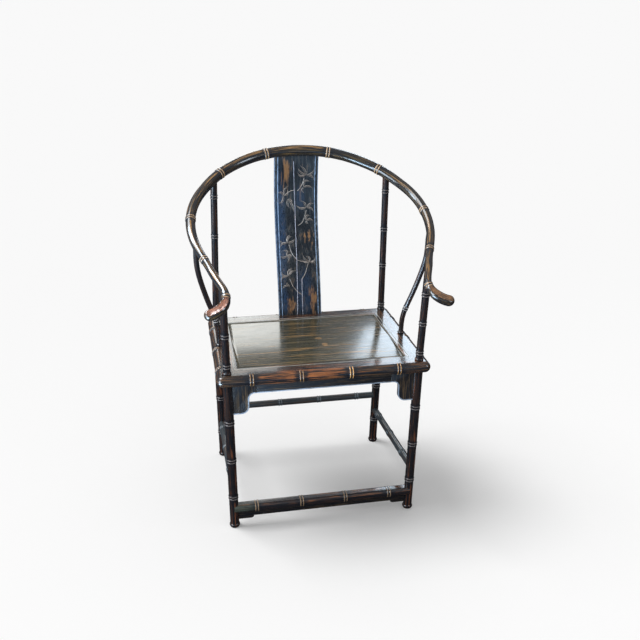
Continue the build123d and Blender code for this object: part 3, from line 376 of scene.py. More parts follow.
RAIL_LOOK = {
    "brown": color(0.050, 0.034, 0.015), "rubbed": color(0.23, 0.120, 0.042), "brown_share": 0.8,
    "rubbed_share": 0.12, "top_wear": 0.50, "ring": color(0.50, 0.31, 0.16), "ring_share": 0.75,
    "halo": 20 * MM, "grain": (300.0, 12.0), "roughness": (0.13, 0.28), "coat": 0.8, "relief": 0.05 * MM,
    "worn": color(0.34, 0.135, 0.080), "worn_dark": color(0.060, 0.026, 0.018),
}
FINISHES = {
    "rail": lacquer("rail_lacquer", **RAIL_LOOK),
    "right_arm": lacquer(
        "right_arm_lacquer",
        **{**RAIL_LOOK, "worn": color(0.26, 0.125, 0.050), "worn_dark": color(0.035, 0.020, 0.014)}),
    "brace": lacquer(
        "brace_lacquer", ring=color(0.62, 0.60, 0.60), ring_share=0.7, ring_width=1.6 * MM, rubbed_share=0.30,
        rubbed=color(0.10, 0.042, 0.024), grain=(300.0, 14.0), roughness=(0.16, 0.26), coat=1.0),
    "post": lacquer(
        "post_lacquer", ring=color(0.32, 0.27, 0.25), ring_share=0.55, ring_width=1.3 * MM, rubbed_share=0.48,
        rubbed=color(0.135, 0.046, 0.022), grain=(300.0, 14.0), halo=18 * MM, roughness=(0.20, 0.32),
        coat=0.3),
    "stretcher": lacquer(
        # painted sheen: the stretchers' dark ground is a lighter grey, standing for light from above
        "stretcher_lacquer", dark=color(0.026, 0.032, 0.035), ring=color(0.22, 0.23, 0.24), ring_share=0.4,
        ring_width=1.4 * MM, rubbed_share=0.12, top_wear=0.2, rubbed=color(0.10, 0.075, 0.055), halo=12 * MM,
        roughness=(0.26, 0.42)),
    "foot_rail": lacquer(
        "foot_rail_lacquer", ring=color(0.50, 0.33, 0.19), ring_share=0.55, rubbed_share=0.26, top_wear=0.45,
        ring_width=1.6 * MM, rubbed=color(0.21, 0.082, 0.034), grain=(420.0, 12.0), coat=0.9,
        # a painted greenish-grey sheen at the rail's left end, on faces towards the front and up
        tint=color(0.05, 0.06, 0.045), tints=((FOOT_RAIL_END, (0.075, 0.05, 0.05), 1.0),),
        lines_face=(0.0, -0.8, 0.6)),
    "frame": lacquer(
        "frame_lacquer", brown=color(0.075, 0.042, 0.019), top_wear=0.08, rubbed_share=0.28, brown_share=0.85,
        rubbed=color(0.27, 0.088, 0.026), ring=color(0.66, 0.34, 0.11), ring_share=0.35, ring_width=1.6 * MM,
        grain=(420.0, 12.0), roughness=(0.16, 0.32), coat=0.7,
        places=((on_front_edge(-75), (0.19, 0.05, 0.05), 0.46),
                (on_front_edge(-30), (0.12, 0.03, 0.02), 0.24)),
        bright_rings=((on_front_edge(EDGE_NODES[2]), (0.05, 0.05, 0.05), 0.50),
                      (on_front_edge(EDGE_NODES[3]), (0.05, 0.05, 0.05), 0.15)),
        # the incised line and the inner edge take a painted highlight, partly real wear
        lines=((FRAME_WIDTH - FRAME_LINE_INSET - EDGE_RADIUS, 2.0 * MM),
               (FRAME_WIDTH - EDGE_RADIUS, 1.8 * MM)),
        line=color(0.34, 0.33, 0.29), line_share=0.85),
    "panel": lacquer(
        "panel_lacquer", dark=color(0.026, 0.025, 0.016), brown=color(0.080, 0.062, 0.033),
        rubbed=color(0.26, 0.140, 0.052), brown_share=0.9, top_wear=0.26, rubbed_share=0.08, rubbed_most=0.75,
        grain=(150.0, 7.0), roughness=(0.14, 0.30), coat=0.5, relief=0.03 * MM,
        places=((on_panel(-62, 8), (0.034, 0.012, 0.03), 0.5),
                (on_panel(20, 5), (0.016, 0.012, 0.03), 0.9),
                (on_panel(30, -40), (0.013, 0.016, 0.03), 0.9),
                (on_panel(-60, -115), (0.05, 0.010, 0.03), 0.4))),
    "splat": lacquer(
        "splat_lacquer", dark=color(0.007, 0.009, 0.012), brown=color(0.026, 0.031, 0.034),
        rubbed=color(0.23, 0.110, 0.042), brown_share=0.9, top_wear=0.0, rubbed_share=0.05, rubbed_most=0.75,
        grain=(150.0, 12.0), tint=color(0.012, 0.034, 0.078),
        # painted bluish sheen, a painted reflection, on the splat's front
        tints=((on_board(-52, 250), (0.024, THROUGH, 0.25), 0.9),
               (on_board(14, 62), (0.040, THROUGH, 0.11), 0.6),
               (on_board(12, 352), (0.020, THROUGH, 0.05), 0.5),
               (on_board(-50, 40), (0.020, THROUGH, 0.06), 0.9)),
        places=((on_board(-33, 431), (0.020, THROUGH, 0.070), 0.55),
                (on_board(-30, 31), (0.024, THROUGH, 0.034), 0.85),
                (on_board(42, 45), (0.018, THROUGH, 0.065), 0.85),
                (on_board(32, 231), (0.026, THROUGH, 0.045), 0.45)),
        # painted bluish highlight lines on the bead and the rim
        lines=((SPLAT_BEAD_AT, 1.5 * MM), (SPLAT_RIM_AT, 1.3 * MM)), lines_face=FRONT,
        line=color(0.30, 0.42, 0.62), line_share=0.8),
    # the carving's crests take a painted highlight in the line colour, partly real wear
    "carving": lacquer(
        "carving_lacquer", dark=color(0.010, 0.013, 0.017), brown=color(0.035, 0.030, 0.030), brown_share=0.7,
        rubbed_share=0.1, top_wear=0.0, line=color(0.62, 0.52, 0.45), line_share=0.95, relief=0.03 * MM,
        coat=0.3),
    # the culm's crest is a lilac-white painted highlight
    "culm": lacquer(
        "culm_lacquer", dark=color(0.012, 0.015, 0.022), brown=color(0.035, 0.030, 0.036), rubbed_share=0.1,
        top_wear=0.0, line=color(0.44, 0.42, 0.52), line_share=0.8, relief=0.03 * MM, coat=0.5),
    # the bead crests of the aprons and spandrels take a bluish painted highlight
    "apron": lacquer("apron_lacquer", brown=color(0.050, 0.032, 0.016), rubbed_share=0.22, top_wear=0.2,
                     rubbed=color(0.11, 0.068, 0.035), line=color(0.36, 0.42, 0.52)),
    "bare_wood": lacquer("bare_wood", dark=color(0.030, 0.018, 0.010), brown=color(0.12, 0.06, 0.03),
                         rubbed=color(0.2, 0.11, 0.05), brown_share=0.9, coat=0.0, roughness=(0.5, 0.7)),
}


# ---------------------------------------------------------------- centre lines, worked out from the frame
RAIL_MIDDLE_WINDOW = 8 * MM        # the rail's middle is measured from the vertices this near to it
BRACE_REACH, RAIL_REACH = 12 * MM, 22 * MM         # a section's vertices lie within this distance
WALK_STEP = 4 * MM                 # between the points of a walked line
WALK_WINDOW = 7 * MM               # a section is this thick to each side
FEWEST_VERTICES = 12               # a section with fewer is past the stick's end
TOP_NODE_WINDOW = 9 * MM           # holds both rings of the top node of a post
PAST_TOP_NODE = 0.3                # a post's axis goes on past its top node by this share of the upper post
NEARLY_UPRIGHT = 0.2               # a heading that is less level than this has no side of its own


def node_vertices(*names):
    """All vertices of some CAD nodes as one array."""
    parts = []
    for name in names:
        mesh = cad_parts[name].data
        places = np.empty(len(mesh.vertices) * 3)
        mesh.vertices.foreach_get("co", places)
        parts.append(places.reshape(-1, 3))
    return np.concatenate(parts)


def level_middle(name, level, window):
    """The middle of an upright stick's section at a height."""
    vertices = node_vertices(name)
    near = vertices[np.abs(vertices[:, 2] - level) < window, :2]
    middle = (near.min(axis=0) + near.max(axis=0)) / 2
    return Vector((middle[0], middle[1], level))


def level_side(heading):
    """The level direction across a heading, or x where it is nearly upright."""
    side = UP.cross(heading)
    return side.normalized() if side.length > NEARLY_UPRIGHT else Vector((1.0, 0.0, 0.0))


def walked_line(vertices, start, heading, length, reach):
    """Walks along a bent stick and keeps the middle of its section at every step."""
    line = [Vector(start)]
    heading = Vector(heading).normalized()
    while (len(line) - 1) * WALK_STEP < length:
        ahead = line[-1] + heading * WALK_STEP
        for _ in range(2):
            side = level_side(heading)
            up = heading.cross(side)
            offsets = vertices - np.array(ahead)
            along = offsets @ np.array(heading)
            sideways = offsets @ np.array(side)
            upwards = offsets @ np.array(up)
            near = (np.abs(along) < WALK_WINDOW) & (np.hypot(sideways, upwards) < reach)
            if near.sum() < FEWEST_VERTICES:
                return line
            ahead += side * (sideways[near].min() + sideways[near].max()) / 2
            ahead += up * (upwards[near].min() + upwards[near].max()) / 2
        heading = (ahead - line[max(0, len(line) - 2)]).normalized()
        line.append(ahead)
    return line


def mirrored(line):
    """A line of points on the chair's other side."""
    return [Vector((-point.x, point.y, point.z)) for point in line]


def level_point(line, level):
    """Where a line of points crosses a height."""
    for low, high in zip(line, line[1:]):
        if low.z <= level <= high.z:
            return low.lerp(high, (level - low.z) / (high.z - low.z))
    return line[-1]


def post_line(name, top_node):
    """The axis of a post: the leg, the neck through the seat frame and the upper post."""
    foot = level_middle(name, 0.0, WELD)
    under_seat = level_middle(name, SEAT_UNDERSIDE, WELD)
    on_seat = Vector((under_seat.x, under_seat.y, SEAT_TOP))
    upper = level_middle(name, top_node * MM, TOP_NODE_WINDOW)
    return [foot, under_seat, on_seat, upper + (upper - on_seat) * PAST_TOP_NODE]


def box_line(name, axis):
    """A line through the middle of a node's box along x, y or z."""
    low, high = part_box(name)
    middle = (low + high) / 2
    start, end = middle.copy(), middle.copy()
    start[axis], end[axis] = low[axis], high[axis]
    return [start, end]


def line_across(right_end):
    """A level line across the chair that ends at a point on its right."""
    return mirrored([right_end]) + [right_end]


rail_vertices = node_vertices("crest_rail_center", "crest_rail_right_shoulder", "crest_rail_right_arm")
at_middle = rail_vertices[np.abs(rail_vertices[:, 0]) < RAIL_MIDDLE_WINDOW]
rail_middle = Vector((0.0, *((at_middle.min(axis=0) + at_middle.max(axis=0)) / 2)[1:]))
right_rail = walked_line(rail_vertices, rail_middle, (1.0, 0.0, 0.0), RAIL_HALF_LENGTH - RAIL_TIP, RAIL_REACH)
right_rail.append(right_rail[-1] * 2 - right_rail[-2])
rail_line = mirrored(reversed(right_rail[1:])) + right_rail
front_post = post_line("front_right_post", FRONT_POST_NODES[-1])
rear_post = post_line("rear_right_post", REAR_POST_NODES[-1])
brace_foot = level_middle("right_side_brace", SEAT_TOP, WELD)
brace_line = walked_line(node_vertices("right_side_brace"), brace_foot, UP, BRACE_LENGTH, BRACE_REACH)
side_stretcher_line = [level_point(front_post, SIDE_STRETCHER_LEVELS[0]),
                       level_point(rear_post, SIDE_STRETCHER_LEVELS[1])]
side_stretcher_length = (side_stretcher_line[1] - side_stretcher_line[0]).length / MM
side_stretcher_nodes = [share * side_stretcher_length for share in SIDE_STRETCHER_NODES]
rear_stretcher_line = line_across(level_point(rear_post, REAR_STRETCHER_LEVEL))
foot_rail_line = line_across(level_point(front_post, FOOT_RAIL_LEVEL))

EDGE_LEVEL = SEAT_TOP - EDGE_RADIUS
front_edge_line = line_across(Vector((SEAT_FRONT_WIDTH / 2, SEAT_FRONT_Y + EDGE_RADIUS, EDGE_LEVEL)))
rear_edge_line = line_across(Vector((SEAT_REAR_WIDTH / 2, SEAT_REAR_Y - EDGE_RADIUS, EDGE_LEVEL)))
right_edge_line = [Vector((SEAT_FRONT_WIDTH / 2 - EDGE_RADIUS, SEAT_FRONT_Y, EDGE_LEVEL)),
                   Vector((SEAT_REAR_WIDTH / 2 - EDGE_RADIUS, SEAT_REAR_Y, EDGE_LEVEL))]


# ---------------------------------------------------------------- dressed copies of the frame's pieces
CHUNK = 2000                       # places that are measured at once
NODE_SEARCH = 12 * MM              # a node is at most this far from where it is expected
CREST_DEPTH = 0.3 * MM             # what lies this much under the highest crest belongs to it
ROW_STEP = 20 * MM                 # between the rows of edges that are added along a stick
ROW_REACH = 60 * MM                # a row cuts the faces that are this near to its middle
RING_ROOM = 3 * MM                 # the rings of a seat edge stand at most this proud of it
SOFT_EDGE = 0.6 * MM               # width of a board's softened edges
FLAT_WITHIN = 0.5                  # degrees: faces that are this flat to each other become one
BEVEL_FROM = 50                    # degrees: a board's edges that are sharper are softened
SHARP_FROM = 38                    # degrees: edges that are sharper show as sharp


class CentreLine:
    """A line of points, with the distance along it measured from a zero point on it."""

    def __init__(self, points, zero=0.0):
        self.points = np.array([tuple(point) for point in points])
        runs = np.diff(self.points, axis=0)
        self.lengths = np.linalg.norm(runs, axis=1)
        self.headings = runs / self.lengths[:, None]
        self.starts = np.concatenate(([0.0], np.cumsum(self.lengths)[:-1])) - zero
        self.total = self.lengths.sum()
        side = level_side(Vector(self.headings[0]))
        sides = []
        for heading in self.headings:
            side = (side - Vector(heading) * side.dot(Vector(heading))).normalized()
            sides.append(tuple(side))
        self.sides = np.array(sides)
        self.ups = np.cross(self.headings, self.sides)

    def measure(self, places):
        """For each place: how far sideways and upwards from the line it is, and how far along."""
        result = np.empty((len(places), 3))
        last = len(self.lengths) - 1
        for first in range(0, len(places), CHUNK):
            chunk = places[first:first + CHUNK]
            offsets = chunk[:, None, :] - self.points[None, :-1, :]
            along = np.einsum("vsk,sk->vs", offsets, self.headings)
            inside = np.clip(along, 0.0, self.lengths)
            inside[:, 0] = np.minimum(along[:, 0], self.lengths[0])
            inside[:, last] = np.maximum(along[:, last], 0.0) if last else along[:, 0]
            away = offsets - inside[:, :, None] * self.headings
            nearest = np.linalg.norm(away, axis=2).argmin(axis=1)
            row = np.arange(len(chunk))
            away = away[row, nearest]
            result[first:first + CHUNK, 0] = (away * self.sides[nearest]).sum(axis=1)
            result[first:first + CHUNK, 1] = (away * self.ups[nearest]).sum(axis=1)
            result[first:first + CHUNK, 2] = inside[row, nearest] + self.starts[nearest]
        return result

    def run_at(self, distance):
        """Which of its straight runs a distance along the line falls on."""
        return int(np.clip(np.searchsorted(self.starts, distance) - 1, 0, len(self.lengths) - 1))

    def at(self, distance):
        """The point at a distance along the line, and the heading there."""
        run = self.run_at(distance)
        heading = Vector(self.headings[run])
        return Vector(self.points[run]) + heading * (distance - self.starts[run]), heading


def found_nodes(measured, expected):
    """The places of the bamboo nodes, from the crests of their rings near where they are expected."""
    along = measured[:, 2]
    away = np.hypot(measured[:, 0], measured[:, 1])
    found = []
    for node in expected:
        near = np.abs(along - node * MM) < NODE_SEARCH
        if near.any():
            crest = near & (away > away[near].max() - CREST_DEPTH)
            found.append((along[crest].min() + along[crest].max()) / 2)
    return found


def node_distances(measured, nodes):
    """Each vertex's distance to the nearest bamboo node."""
    if not nodes:
        return np.full(len(measured), NO_NODE)
    return np.abs(measured[:, 2][:, None] - np.array(nodes)[None, :]).min(axis=1)


def cut_rows(work, line, distances):
    """Adds rows of edges across a stick, so that what varies along it has points to hang on."""
    for distance in distances:
        point, heading = line.at(distance)
        near = [face for face in work.faces
                if (face.calc_center_median() - point).length < ROW_REACH + face_span(face)]
        geometry = near + list({edge for face in near for edge in face.edges})
        geometry += list({vert for face in near for vert in face.verts})
        bmesh.ops.bisect_plane(work, geom=geometry, dist=WELD, plane_co=point, plane_no=heading)


def face_span(face):
    """How far a face reaches from its first corner."""
    return max((vert.co - face.verts[0].co).length for vert in face.verts)


def bead_crests(work, outwards):
    """Which vertices of a flat board lie on its raised bead, as 0 to 1."""
    heights = np.array([vert.co.dot(outwards) for vert in work.verts])
    return np.clip((heights - heights.max() + BEAD_HEIGHT) / BEAD_HEIGHT, 0.0, 1.0)


def dressed(name, finish, line, nodes=(), rows=(), soften=0.0, reshape=None, ringed=None, bead=None):
    """A copy of a CAD node with welded vertices, the grain's directions and the distance to its nodes.

    reshape moves vertices and says how bare each is, ringed says which vertices can take rings, and bead is
    the direction out of a board's beaded face.
    """
    work = bmesh.new()
    work.from_mesh(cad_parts[name].data)
    bmesh.ops.remove_doubles(work, verts=work.verts, dist=WELD)
    if soften:
        soften_edges(work, soften)
    if len(rows):
        cut_rows(work, line, rows)
    measured = line.measure(np.array([tuple(vert.co) for vert in work.verts]))
    bare = reshape(work, measured) if reshape else np.zeros(len(measured))
    if ringed:
        on_ring = ringed(measured)
        distances = node_distances(measured, found_nodes(measured[on_ring], nodes))
        distances[~on_ring] = NO_NODE
    else:
        distances = node_distances(measured, found_nodes(measured, nodes))
    # a bead's crest takes the finish's painted highlight colour
    crest = bead_crests(work, bead) if bead else np.zeros(len(measured))
    noted(work, grain=measured, node=distances, bare=bare, crest=crest)
    piece = finished(name + "_dressed", work, finish)
    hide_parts(name)
    return piece


def noted(work, grain, **values):
    """Writes the grain's directions and other values on the vertices, for the finish to read."""
    layer = work.verts.layers.float_vector.new("grain")
    for vert, place in zip(work.verts, grain):
        vert[layer] = place
    for key, numbers in values.items():
        layer = work.verts.layers.float.new(key)
        for vert, number in zip(work.verts, numbers):
            vert[layer] = number


def soften_edges(work, width):
    """Rounds the sharp edges of a board by a small bevel."""
    bmesh.ops.dissolve_limit(work, angle_limit=math.radians(FLAT_WITHIN), verts=work.verts, edges=work.edges)
    sharp = [edge for edge in work.edges
             if len(edge.link_faces) == 2 and edge.calc_face_angle() > math.radians(BEVEL_FROM)]
    bmesh.ops.bevel(work, geom=sharp, offset=width, segments=2, profile=0.5, affect="EDGES",
                    material=-1, clamp_overlap=True)


def finished(name, work, finish):
    """Turns finished mesh work into a piece that rides with the chair."""
    for face in work.faces:
        face.smooth = True
    mesh = bpy.data.meshes.new(name)
    work.to_mesh(mesh)
    work.free()
    if "custom_normal" in mesh.attributes:
        mesh.attributes.remove(mesh.attributes["custom_normal"])
    mesh.set_sharp_from_angle(angle=math.radians(SHARP_FROM))
    mesh.materials.clear()
    mesh.materials.append(FINISHES[finish])
    piece = bpy.data.objects.new(name, mesh)
    bpy.context.scene.collection.objects.link(piece)
    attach(piece, "root")
    return piece


def rows_along(start, end, step):
    """Distances from start to end, evenly spaced."""
    return np.linspace(start, end, max(2, int(round((end - start) / step)) + 1))


def dress_level(name, finish, points, nodes, **how):
    """Dresses a stick that lies across the chair, with distances measured from its middle."""
    half = CentreLine(points).total / 2
    rows = rows_along(ROW_STEP - half, half - ROW_STEP, ROW_STEP)
    dressed(name, finish, CentreLine(points, half), nodes, rows, **how)


def dress_board(name, finish, axis, bead=None):
    """Dresses a board whose grain runs along an axis, with softened edges."""
    dressed(name, finish, CentreLine(box_line(name, axis)), soften=SOFT_EDGE, bead=bead)


def dress_both(pattern, finish, points, nodes=(), zero=0.0, long=False, **how):
    """Dresses the right-hand node of a pair along a line, and the left-hand one along its mirror image."""
    pair = []
    for side, line_points in (("right", points), ("left", mirrored(points))):
        line = CentreLine(line_points, zero)
        rows = rows_along(ROW_STEP - zero, line.total - zero, ROW_STEP) if long else ()
        pair.append(dressed(pattern.format(side), finish, line, nodes, rows, **how))
    return pair


# the grip at each end of the rail is scooped out on top, between its node and its tip
GRIP_FROM = 784 * MM
GRIP_TO = 868 * MM
GRIP_DEEP_FROM = 800 * MM
GRIP_DEEP_TO = 846 * MM
GRIP_FLOOR = 9.6 * MM              # height of the scoop's floor above the rail's axis
GRIP_DISH = 2.2 * MM               # how much higher the scoop is at its rim
GRIP_HALF_WIDTH = 11 * MM
GRIP_TILT = math.radians(30)       # how far the scoop looks to the front
GRIP_BARE_DEPTH = 1.5 * MM         # where this much is taken off, the lacquer is gone


def eased(values, low, high):
    """A smooth step from 0 to 1 while the values go from low to high."""
    share = np.clip((values - low) / (high - low), 0.0, 1.0)
    return share * share * (3 - 2 * share)


def scooped_grip(work, measured):
    """Lowers the top of the rail's end to a shallow scoop, and says how bare each vertex is."""
    distance = np.abs(measured[:, 2])
    depth = eased(distance, GRIP_FROM, GRIP_DEEP_FROM) * (1 - eased(distance, GRIP_DEEP_TO, GRIP_TO))
    bare = np.zeros(len(measured))
    for vert, place, share in zip(work.verts, measured, depth):
        if share <= 0.0:
            continue
        run = rail.run_at(place[2])
        heading, side, up = (Vector(rows[run]) for rows in (rail.headings, rail.sides, rail.ups))
        forwards = (FRONT - heading * FRONT.dot(heading)).normalized()
        facing = UP * math.cos(GRIP_TILT) + forwards * math.sin(GRIP_TILT)
        facing = (facing - heading * facing.dot(heading)).normalized()
        out = side * place[0] + up * place[1]
        height = out.dot(facing)
        sideways = (out - facing * height).length
        floor_height = GRIP_FLOOR + GRIP_DISH * (sideways / GRIP_HALF_WIDTH) ** 2
        excess = height - floor_height
        if excess > 0.0:
            vert.co -= facing * excess * share
            bare[vert.index] = share * min(1.0, excess / GRIP_BARE_DEPTH)
    return bare


# the crest rail: distances are measured from its middle
rail = CentreLine(rail_line, zero=CentreLine(right_rail).total)
rail_nodes = [-node for node in RAIL_NODES] + list(RAIL_NODES)
for name in ("crest_rail_center", "crest_rail_left_shoulder", "crest_rail_right_shoulder"):
    dressed(name, "rail", rail, rail_nodes)
for name, finish in (("crest_rail_left_arm", "rail"), ("crest_rail_right_arm", "right_arm")):
    dressed(name, finish, rail, rail_nodes, reshape=scooped_grip)

posts = dress_both("front_{}_post", "post", front_post, FRONT_POST_NODES, long=True)
posts += dress_both("rear_{}_post", "post", rear_post, REAR_POST_NODES, long=True)
_, left_brace = dress_both("{}_side_brace", "brace", brace_line, BRACE_NODES)
dress_both("{}_side_stretcher", "stretcher", side_stretcher_line, side_stretcher_nodes, long=True)
dress_level("rear_stretcher", "stretcher", rear_stretcher_line, REAR_STRETCHER_NODES)
dress_level("front_foot_rail", "foot_rail", foot_rail_line, FOOT_RAIL_NODES)


def on_rounded_edge(measured):
    """Which vertices of a frame member lie on its rounded outer edge."""
    return np.hypot(measured[:, 0], measured[:, 1]) < EDGE_RADIUS + RING_ROOM


dress_level("seat_frame_front", "frame", front_edge_line, EDGE_NODES, ringed=on_rounded_edge)
dress_level("seat_frame_rear", "frame", rear_edge_line, EDGE_NODES, ringed=on_rounded_edge)
side_half = CentreLine(right_edge_line).total / 2
dress_both("seat_frame_{}", "frame", right_edge_line, SIDE_EDGE_NODES, zero=side_half, long=True,
           ringed=on_rounded_edge)

# boards; the side aprons and their spandrels lie along the side stretchers
dress_board("seat_panel", "panel", SIDEWAYS)
dress_board("back_splat", "splat", UPRIGHT)
dress_board("front_apron", "apron", SIDEWAYS, FRONT)
dress_board("rear_apron", "apron", SIDEWAYS, REAR)
dress_board("foot_rail_apron", "apron", SIDEWAYS)
side_run = (side_stretcher_line[1] - side_stretcher_line[0]).normalized()
right_side = side_run.cross(UP).normalized()
left_side = Vector((-right_side.x, right_side.y, 0.0))
for side, outwards in (("left", left_side), ("right", right_side)):
    dress_board(f"{side}_side_apron", "apron", DEPTHWISE, outwards)
    dress_board(f"front_{side}_spandrel", "apron", UPRIGHT, FRONT)
    dress_board(f"rear_{side}_spandrel", "apron", UPRIGHT, REAR)
    dress_board(f"{side}_side_front_spandrel", "apron", UPRIGHT, outwards)
    dress_board(f"{side}_side_rear_spandrel", "apron", UPRIGHT, outwards)
dress_both("{}_seat_batten", "bare_wood", box_line("right_seat_batten", DEPTHWISE))
for name in ("scarf_pins", "frame_pegs"):
    dressed(name, "bare_wood", CentreLine(box_line(name, UPRIGHT)))


# ---------------------------------------------------------------- carving on the splat
# places on the splat's face: millimetres to the right of its middle, and above the seat
CULMS = (
    ((-9, 466), (-4, 331), (-4, 226), (-5, 140), (-9, 1)),
    ((9, 110), (8, 60), (8, 1)),
)
BRANCHES = (
    ((24, 414), (20, 397), (13, 384), (4, 374)),
    ((-36, 361), (-29, 368), (-20, 374), (-6, 377)),
    ((31, 314), (24, 290), (16, 275), (4, 269)),
    ((-27, 214), (-24, 200), (-19, 185), (-4, 167)),
    ((-4, 167), (10, 162), (34, 156)),
    ((31, 155), (25, 140), (20, 124), (9, 110)),
    ((-30, 112), (-22, 90), (-7, 71), (7, 62)),
)
# each spray of leaves: where they spring from, and where each leaf ends with how much it bends
SPRAYS = (
    ((31, 422), ((55, 438, -3), (56, 406, 3), (2, 431, 5), (10, 452, -3), (3, 446, 3))),
    ((22, 386), ((45, 401, 8), (52, 380, 3), (24, 366, -3))),
    ((-38, 360), ((-23, 391, 4), (-28, 380, -5), (-58, 369, -4), (-56, 336, 4))),
    ((-26, 350), ((-14, 335, 3), (-20, 321, -3), (-8, 308, 3))),
    ((32, 322), ((55, 334, 3), (54, 309, 3), (1, 326, 3), (12, 344, -3), (-2, 331, 4))),
    ((29, 283), ((45, 296, 6), (54, 280, 3), (36, 274, -2))),
    ((-33, 219), ((-21, 243, 3), (-5, 232, -3), (-56, 228, 4), (-55, 207, -3), (-15, 237, 4))),
    ((-35, 180), ((-57, 180, 3), (-48, 196, -6), (-25, 186, -5), (-33, 161, 3), (-19, 175, 3))),
    ((37, 159), ((55, 173, -4), (53, 148, 3), (24, 177, -4), (15, 182, 4), (8, 168, 3))),
    ((-35, 120), ((-25, 148, -4), (-7, 136, 3), (-58, 137, 4), (-57, 104, -5), (-20, 143, 4))),
    ((-30, 90), ((-56, 80, -4), (-38, 103, 3))),
)
# widths and heights in millimetres
CULM_WIDTH, CULM_HEIGHT = 3.4, 1.7
BRANCH_WIDTH, BRANCH_HEIGHT = 3.0, 1.5
BRANCH_OUTER = 0.75                # how wide a branch is at its outer end, beside where it joins the culm
LEAF_WIDTH, LEAF_HEIGHT = 6.2, 1.8
LEAF_STALK = 0.8                   # a leaf starts this far from the point its spray springs from
CARVING_SUNK = 0.5                 # the edges of a stroke lie this far inside the board
STROKE_DEPTH = 0.8 * MM            # how thick a stroke is at its edges
LEAF_RIM_AT = 0.62                 # the two rims of a leaf, as a share of its half width
LEAF_HOLLOW = 0.12                 # how high the hollow between them is, as a share of the leaf's height
LEAF_TIP = 0.06                    # how wide the tip is, as a share of the leaf's width
LEAF_ROOT = 0.03                   # how far the leaf's curve is cut off at its root, as a share of its length
LEAF_SKEW = 0.75                   # below 1, a leaf is widest before its middle
LOW_TIP = 0.4                      # how high a stroke is where it tapers off, as a share of its height
CORNER_CUTS = 3                    # times that the corners of a path are cut
HIGHLIGHT_FROM = 0.55                   # share of a stroke's height from which its crest takes a painted highlight, partly real wear
LOWER_RIM_HIGHLIGHT = 0.55              # strength of the painted highlight on the lower rim of a stroke beside the one on its upper rim

splat_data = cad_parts["back_splat"].data
splat_surface = BVHTree.FromPolygons([vertex.co for vertex in splat_data.vertices],
                                     [polygon.vertices for polygon in splat_data.polygons])


def on_splat(x, z):
    """The point of the splat's front face at a place on it, and the direction out of it."""
    return splat_surface.ray_cast(Vector((x * MM, -1.0, SEAT_TOP + z * MM)), REAR)[:2]


def rounded_path(places):
    """Cuts the corners of a path again and again, and keeps its two ends."""
    path = [Vector((x, z, 0.0)) for x, z in places]
    for _ in range(CORNER_CUTS):
        cut = [path[0]]
        for start, end in zip(path, path[1:]):
            cut += [start.lerp(end, 0.25), start.lerp(end, 0.75)]
        path = cut + [path[-1]]
    return path


# sections give the height at a share of the half width, and tapers the width at a share of the length
def domed(aside):
    return 1.0 - aside * aside


def two_rims(aside):
    """A leaf is hollowed along its middle between two rims."""
    if abs(aside) >= 1.0:
        return 0.0
    from_rim = (abs(aside) - LEAF_RIM_AT) / (1.0 - LEAF_RIM_AT)
    return max(LEAF_HOLLOW, 1.0 - from_rim ** 2)


def leaf_taper(share):
    return max(LEAF_TIP, math.sin(math.pi * (LEAF_ROOT + (1.0 - LEAF_ROOT) * share) ** LEAF_SKEW))


def branch_taper(share):
    return BRANCH_OUTER + (1.0 - BRANCH_OUTER) * share


def culm_taper(share):
    return 1.0


def stroke(work, highlight_crest_layer, places, width, height, section, taper, across, along):
    """A raised stroke along some places on the splat, with the painted highlight of its crests noted on its
    vertices.
    """
    line = CentreLine(rounded_path(places))
    for vert in bmesh.ops.create_grid(work, x_segments=along, y_segments=across, size=0.5)["verts"]:
        share, aside = vert.co.x + 0.5, 2 * vert.co.y
        middle, heading = line.at(share * line.total)
        full = taper(share)
        place = middle + Vector((-heading.y, heading.x, 0.0)) * aside * width / 2 * full
        surface, outwards = on_splat(place.x, place.y)
        rise = section(aside)
        # painted highlight: the upper rim is painted lighter than the lower one, as if lit from above
        pale = 1.0 if aside * heading.x >= 0.0 else LOWER_RIM_HIGHLIGHT
        vert[highlight_crest_layer] = pale * max(0.0, (rise - HIGHLIGHT_FROM) / (1.0 - HIGHLIGHT_FROM))
        rise = rise * height * (LOW_TIP + (1.0 - LOW_TIP) * full)
        vert.co = surface + outwards * (rise - CARVING_SUNK) * MM


def leaf_places(root, tip, bend):
    """From the root of a leaf to its tip, bent aside in the middle."""
    start, end = Vector((*root, 0.0)), Vector((*tip, 0.0))
    heading = (end - start).normalized()
    start += heading * LEAF_STALK
    middle = (start + end) / 2 + Vector((-heading.y, heading.x, 0.0)) * bend * 2
    return (start.xy, middle.xy, end.xy)


def put_in_order(work):
    """Sorts vertices and faces by their places, since extruding leaves them in another order each run."""
    spots = {vert: tuple(vert.co) for vert in work.verts}
    corners = {face: sorted(spots[vert] for vert in face.verts) for face in work.faces}
    for elements, places in ((work.verts, spots), (work.faces, corners)):
        ranks = {element: rank for rank, element in enumerate(sorted(places, key=places.get))}
        elements.sort(key=ranks.get)


def carved(name, finish, strokes, **how):
    """All strokes of one kind as one piece, with a little thickness that lies inside the board."""
    work = bmesh.new()
    highlight_crest_layer = work.verts.layers.float.new("crest")
    for places in strokes:
        stroke(work, highlight_crest_layer, places, **how)
    underside = bmesh.ops.extrude_face_region(work, geom=work.faces[:])["geom"]
    sunk = [element for element in underside if isinstance(element, bmesh.types.BMVert)]
    bmesh.ops.translate(work, verts=sunk, vec=(0.0, STROKE_DEPTH, 0.0))
    bmesh.ops.recalc_face_normals(work, faces=work.faces)
    put_in_order(work)
    places = np.array([tuple(vert.co) for vert in work.verts])
    measured = CentreLine(box_line("back_splat", UPRIGHT)).measure(places)
    noted(work, grain=measured, node=np.full(len(measured), NO_NODE))
    return finished(name, work, finish)


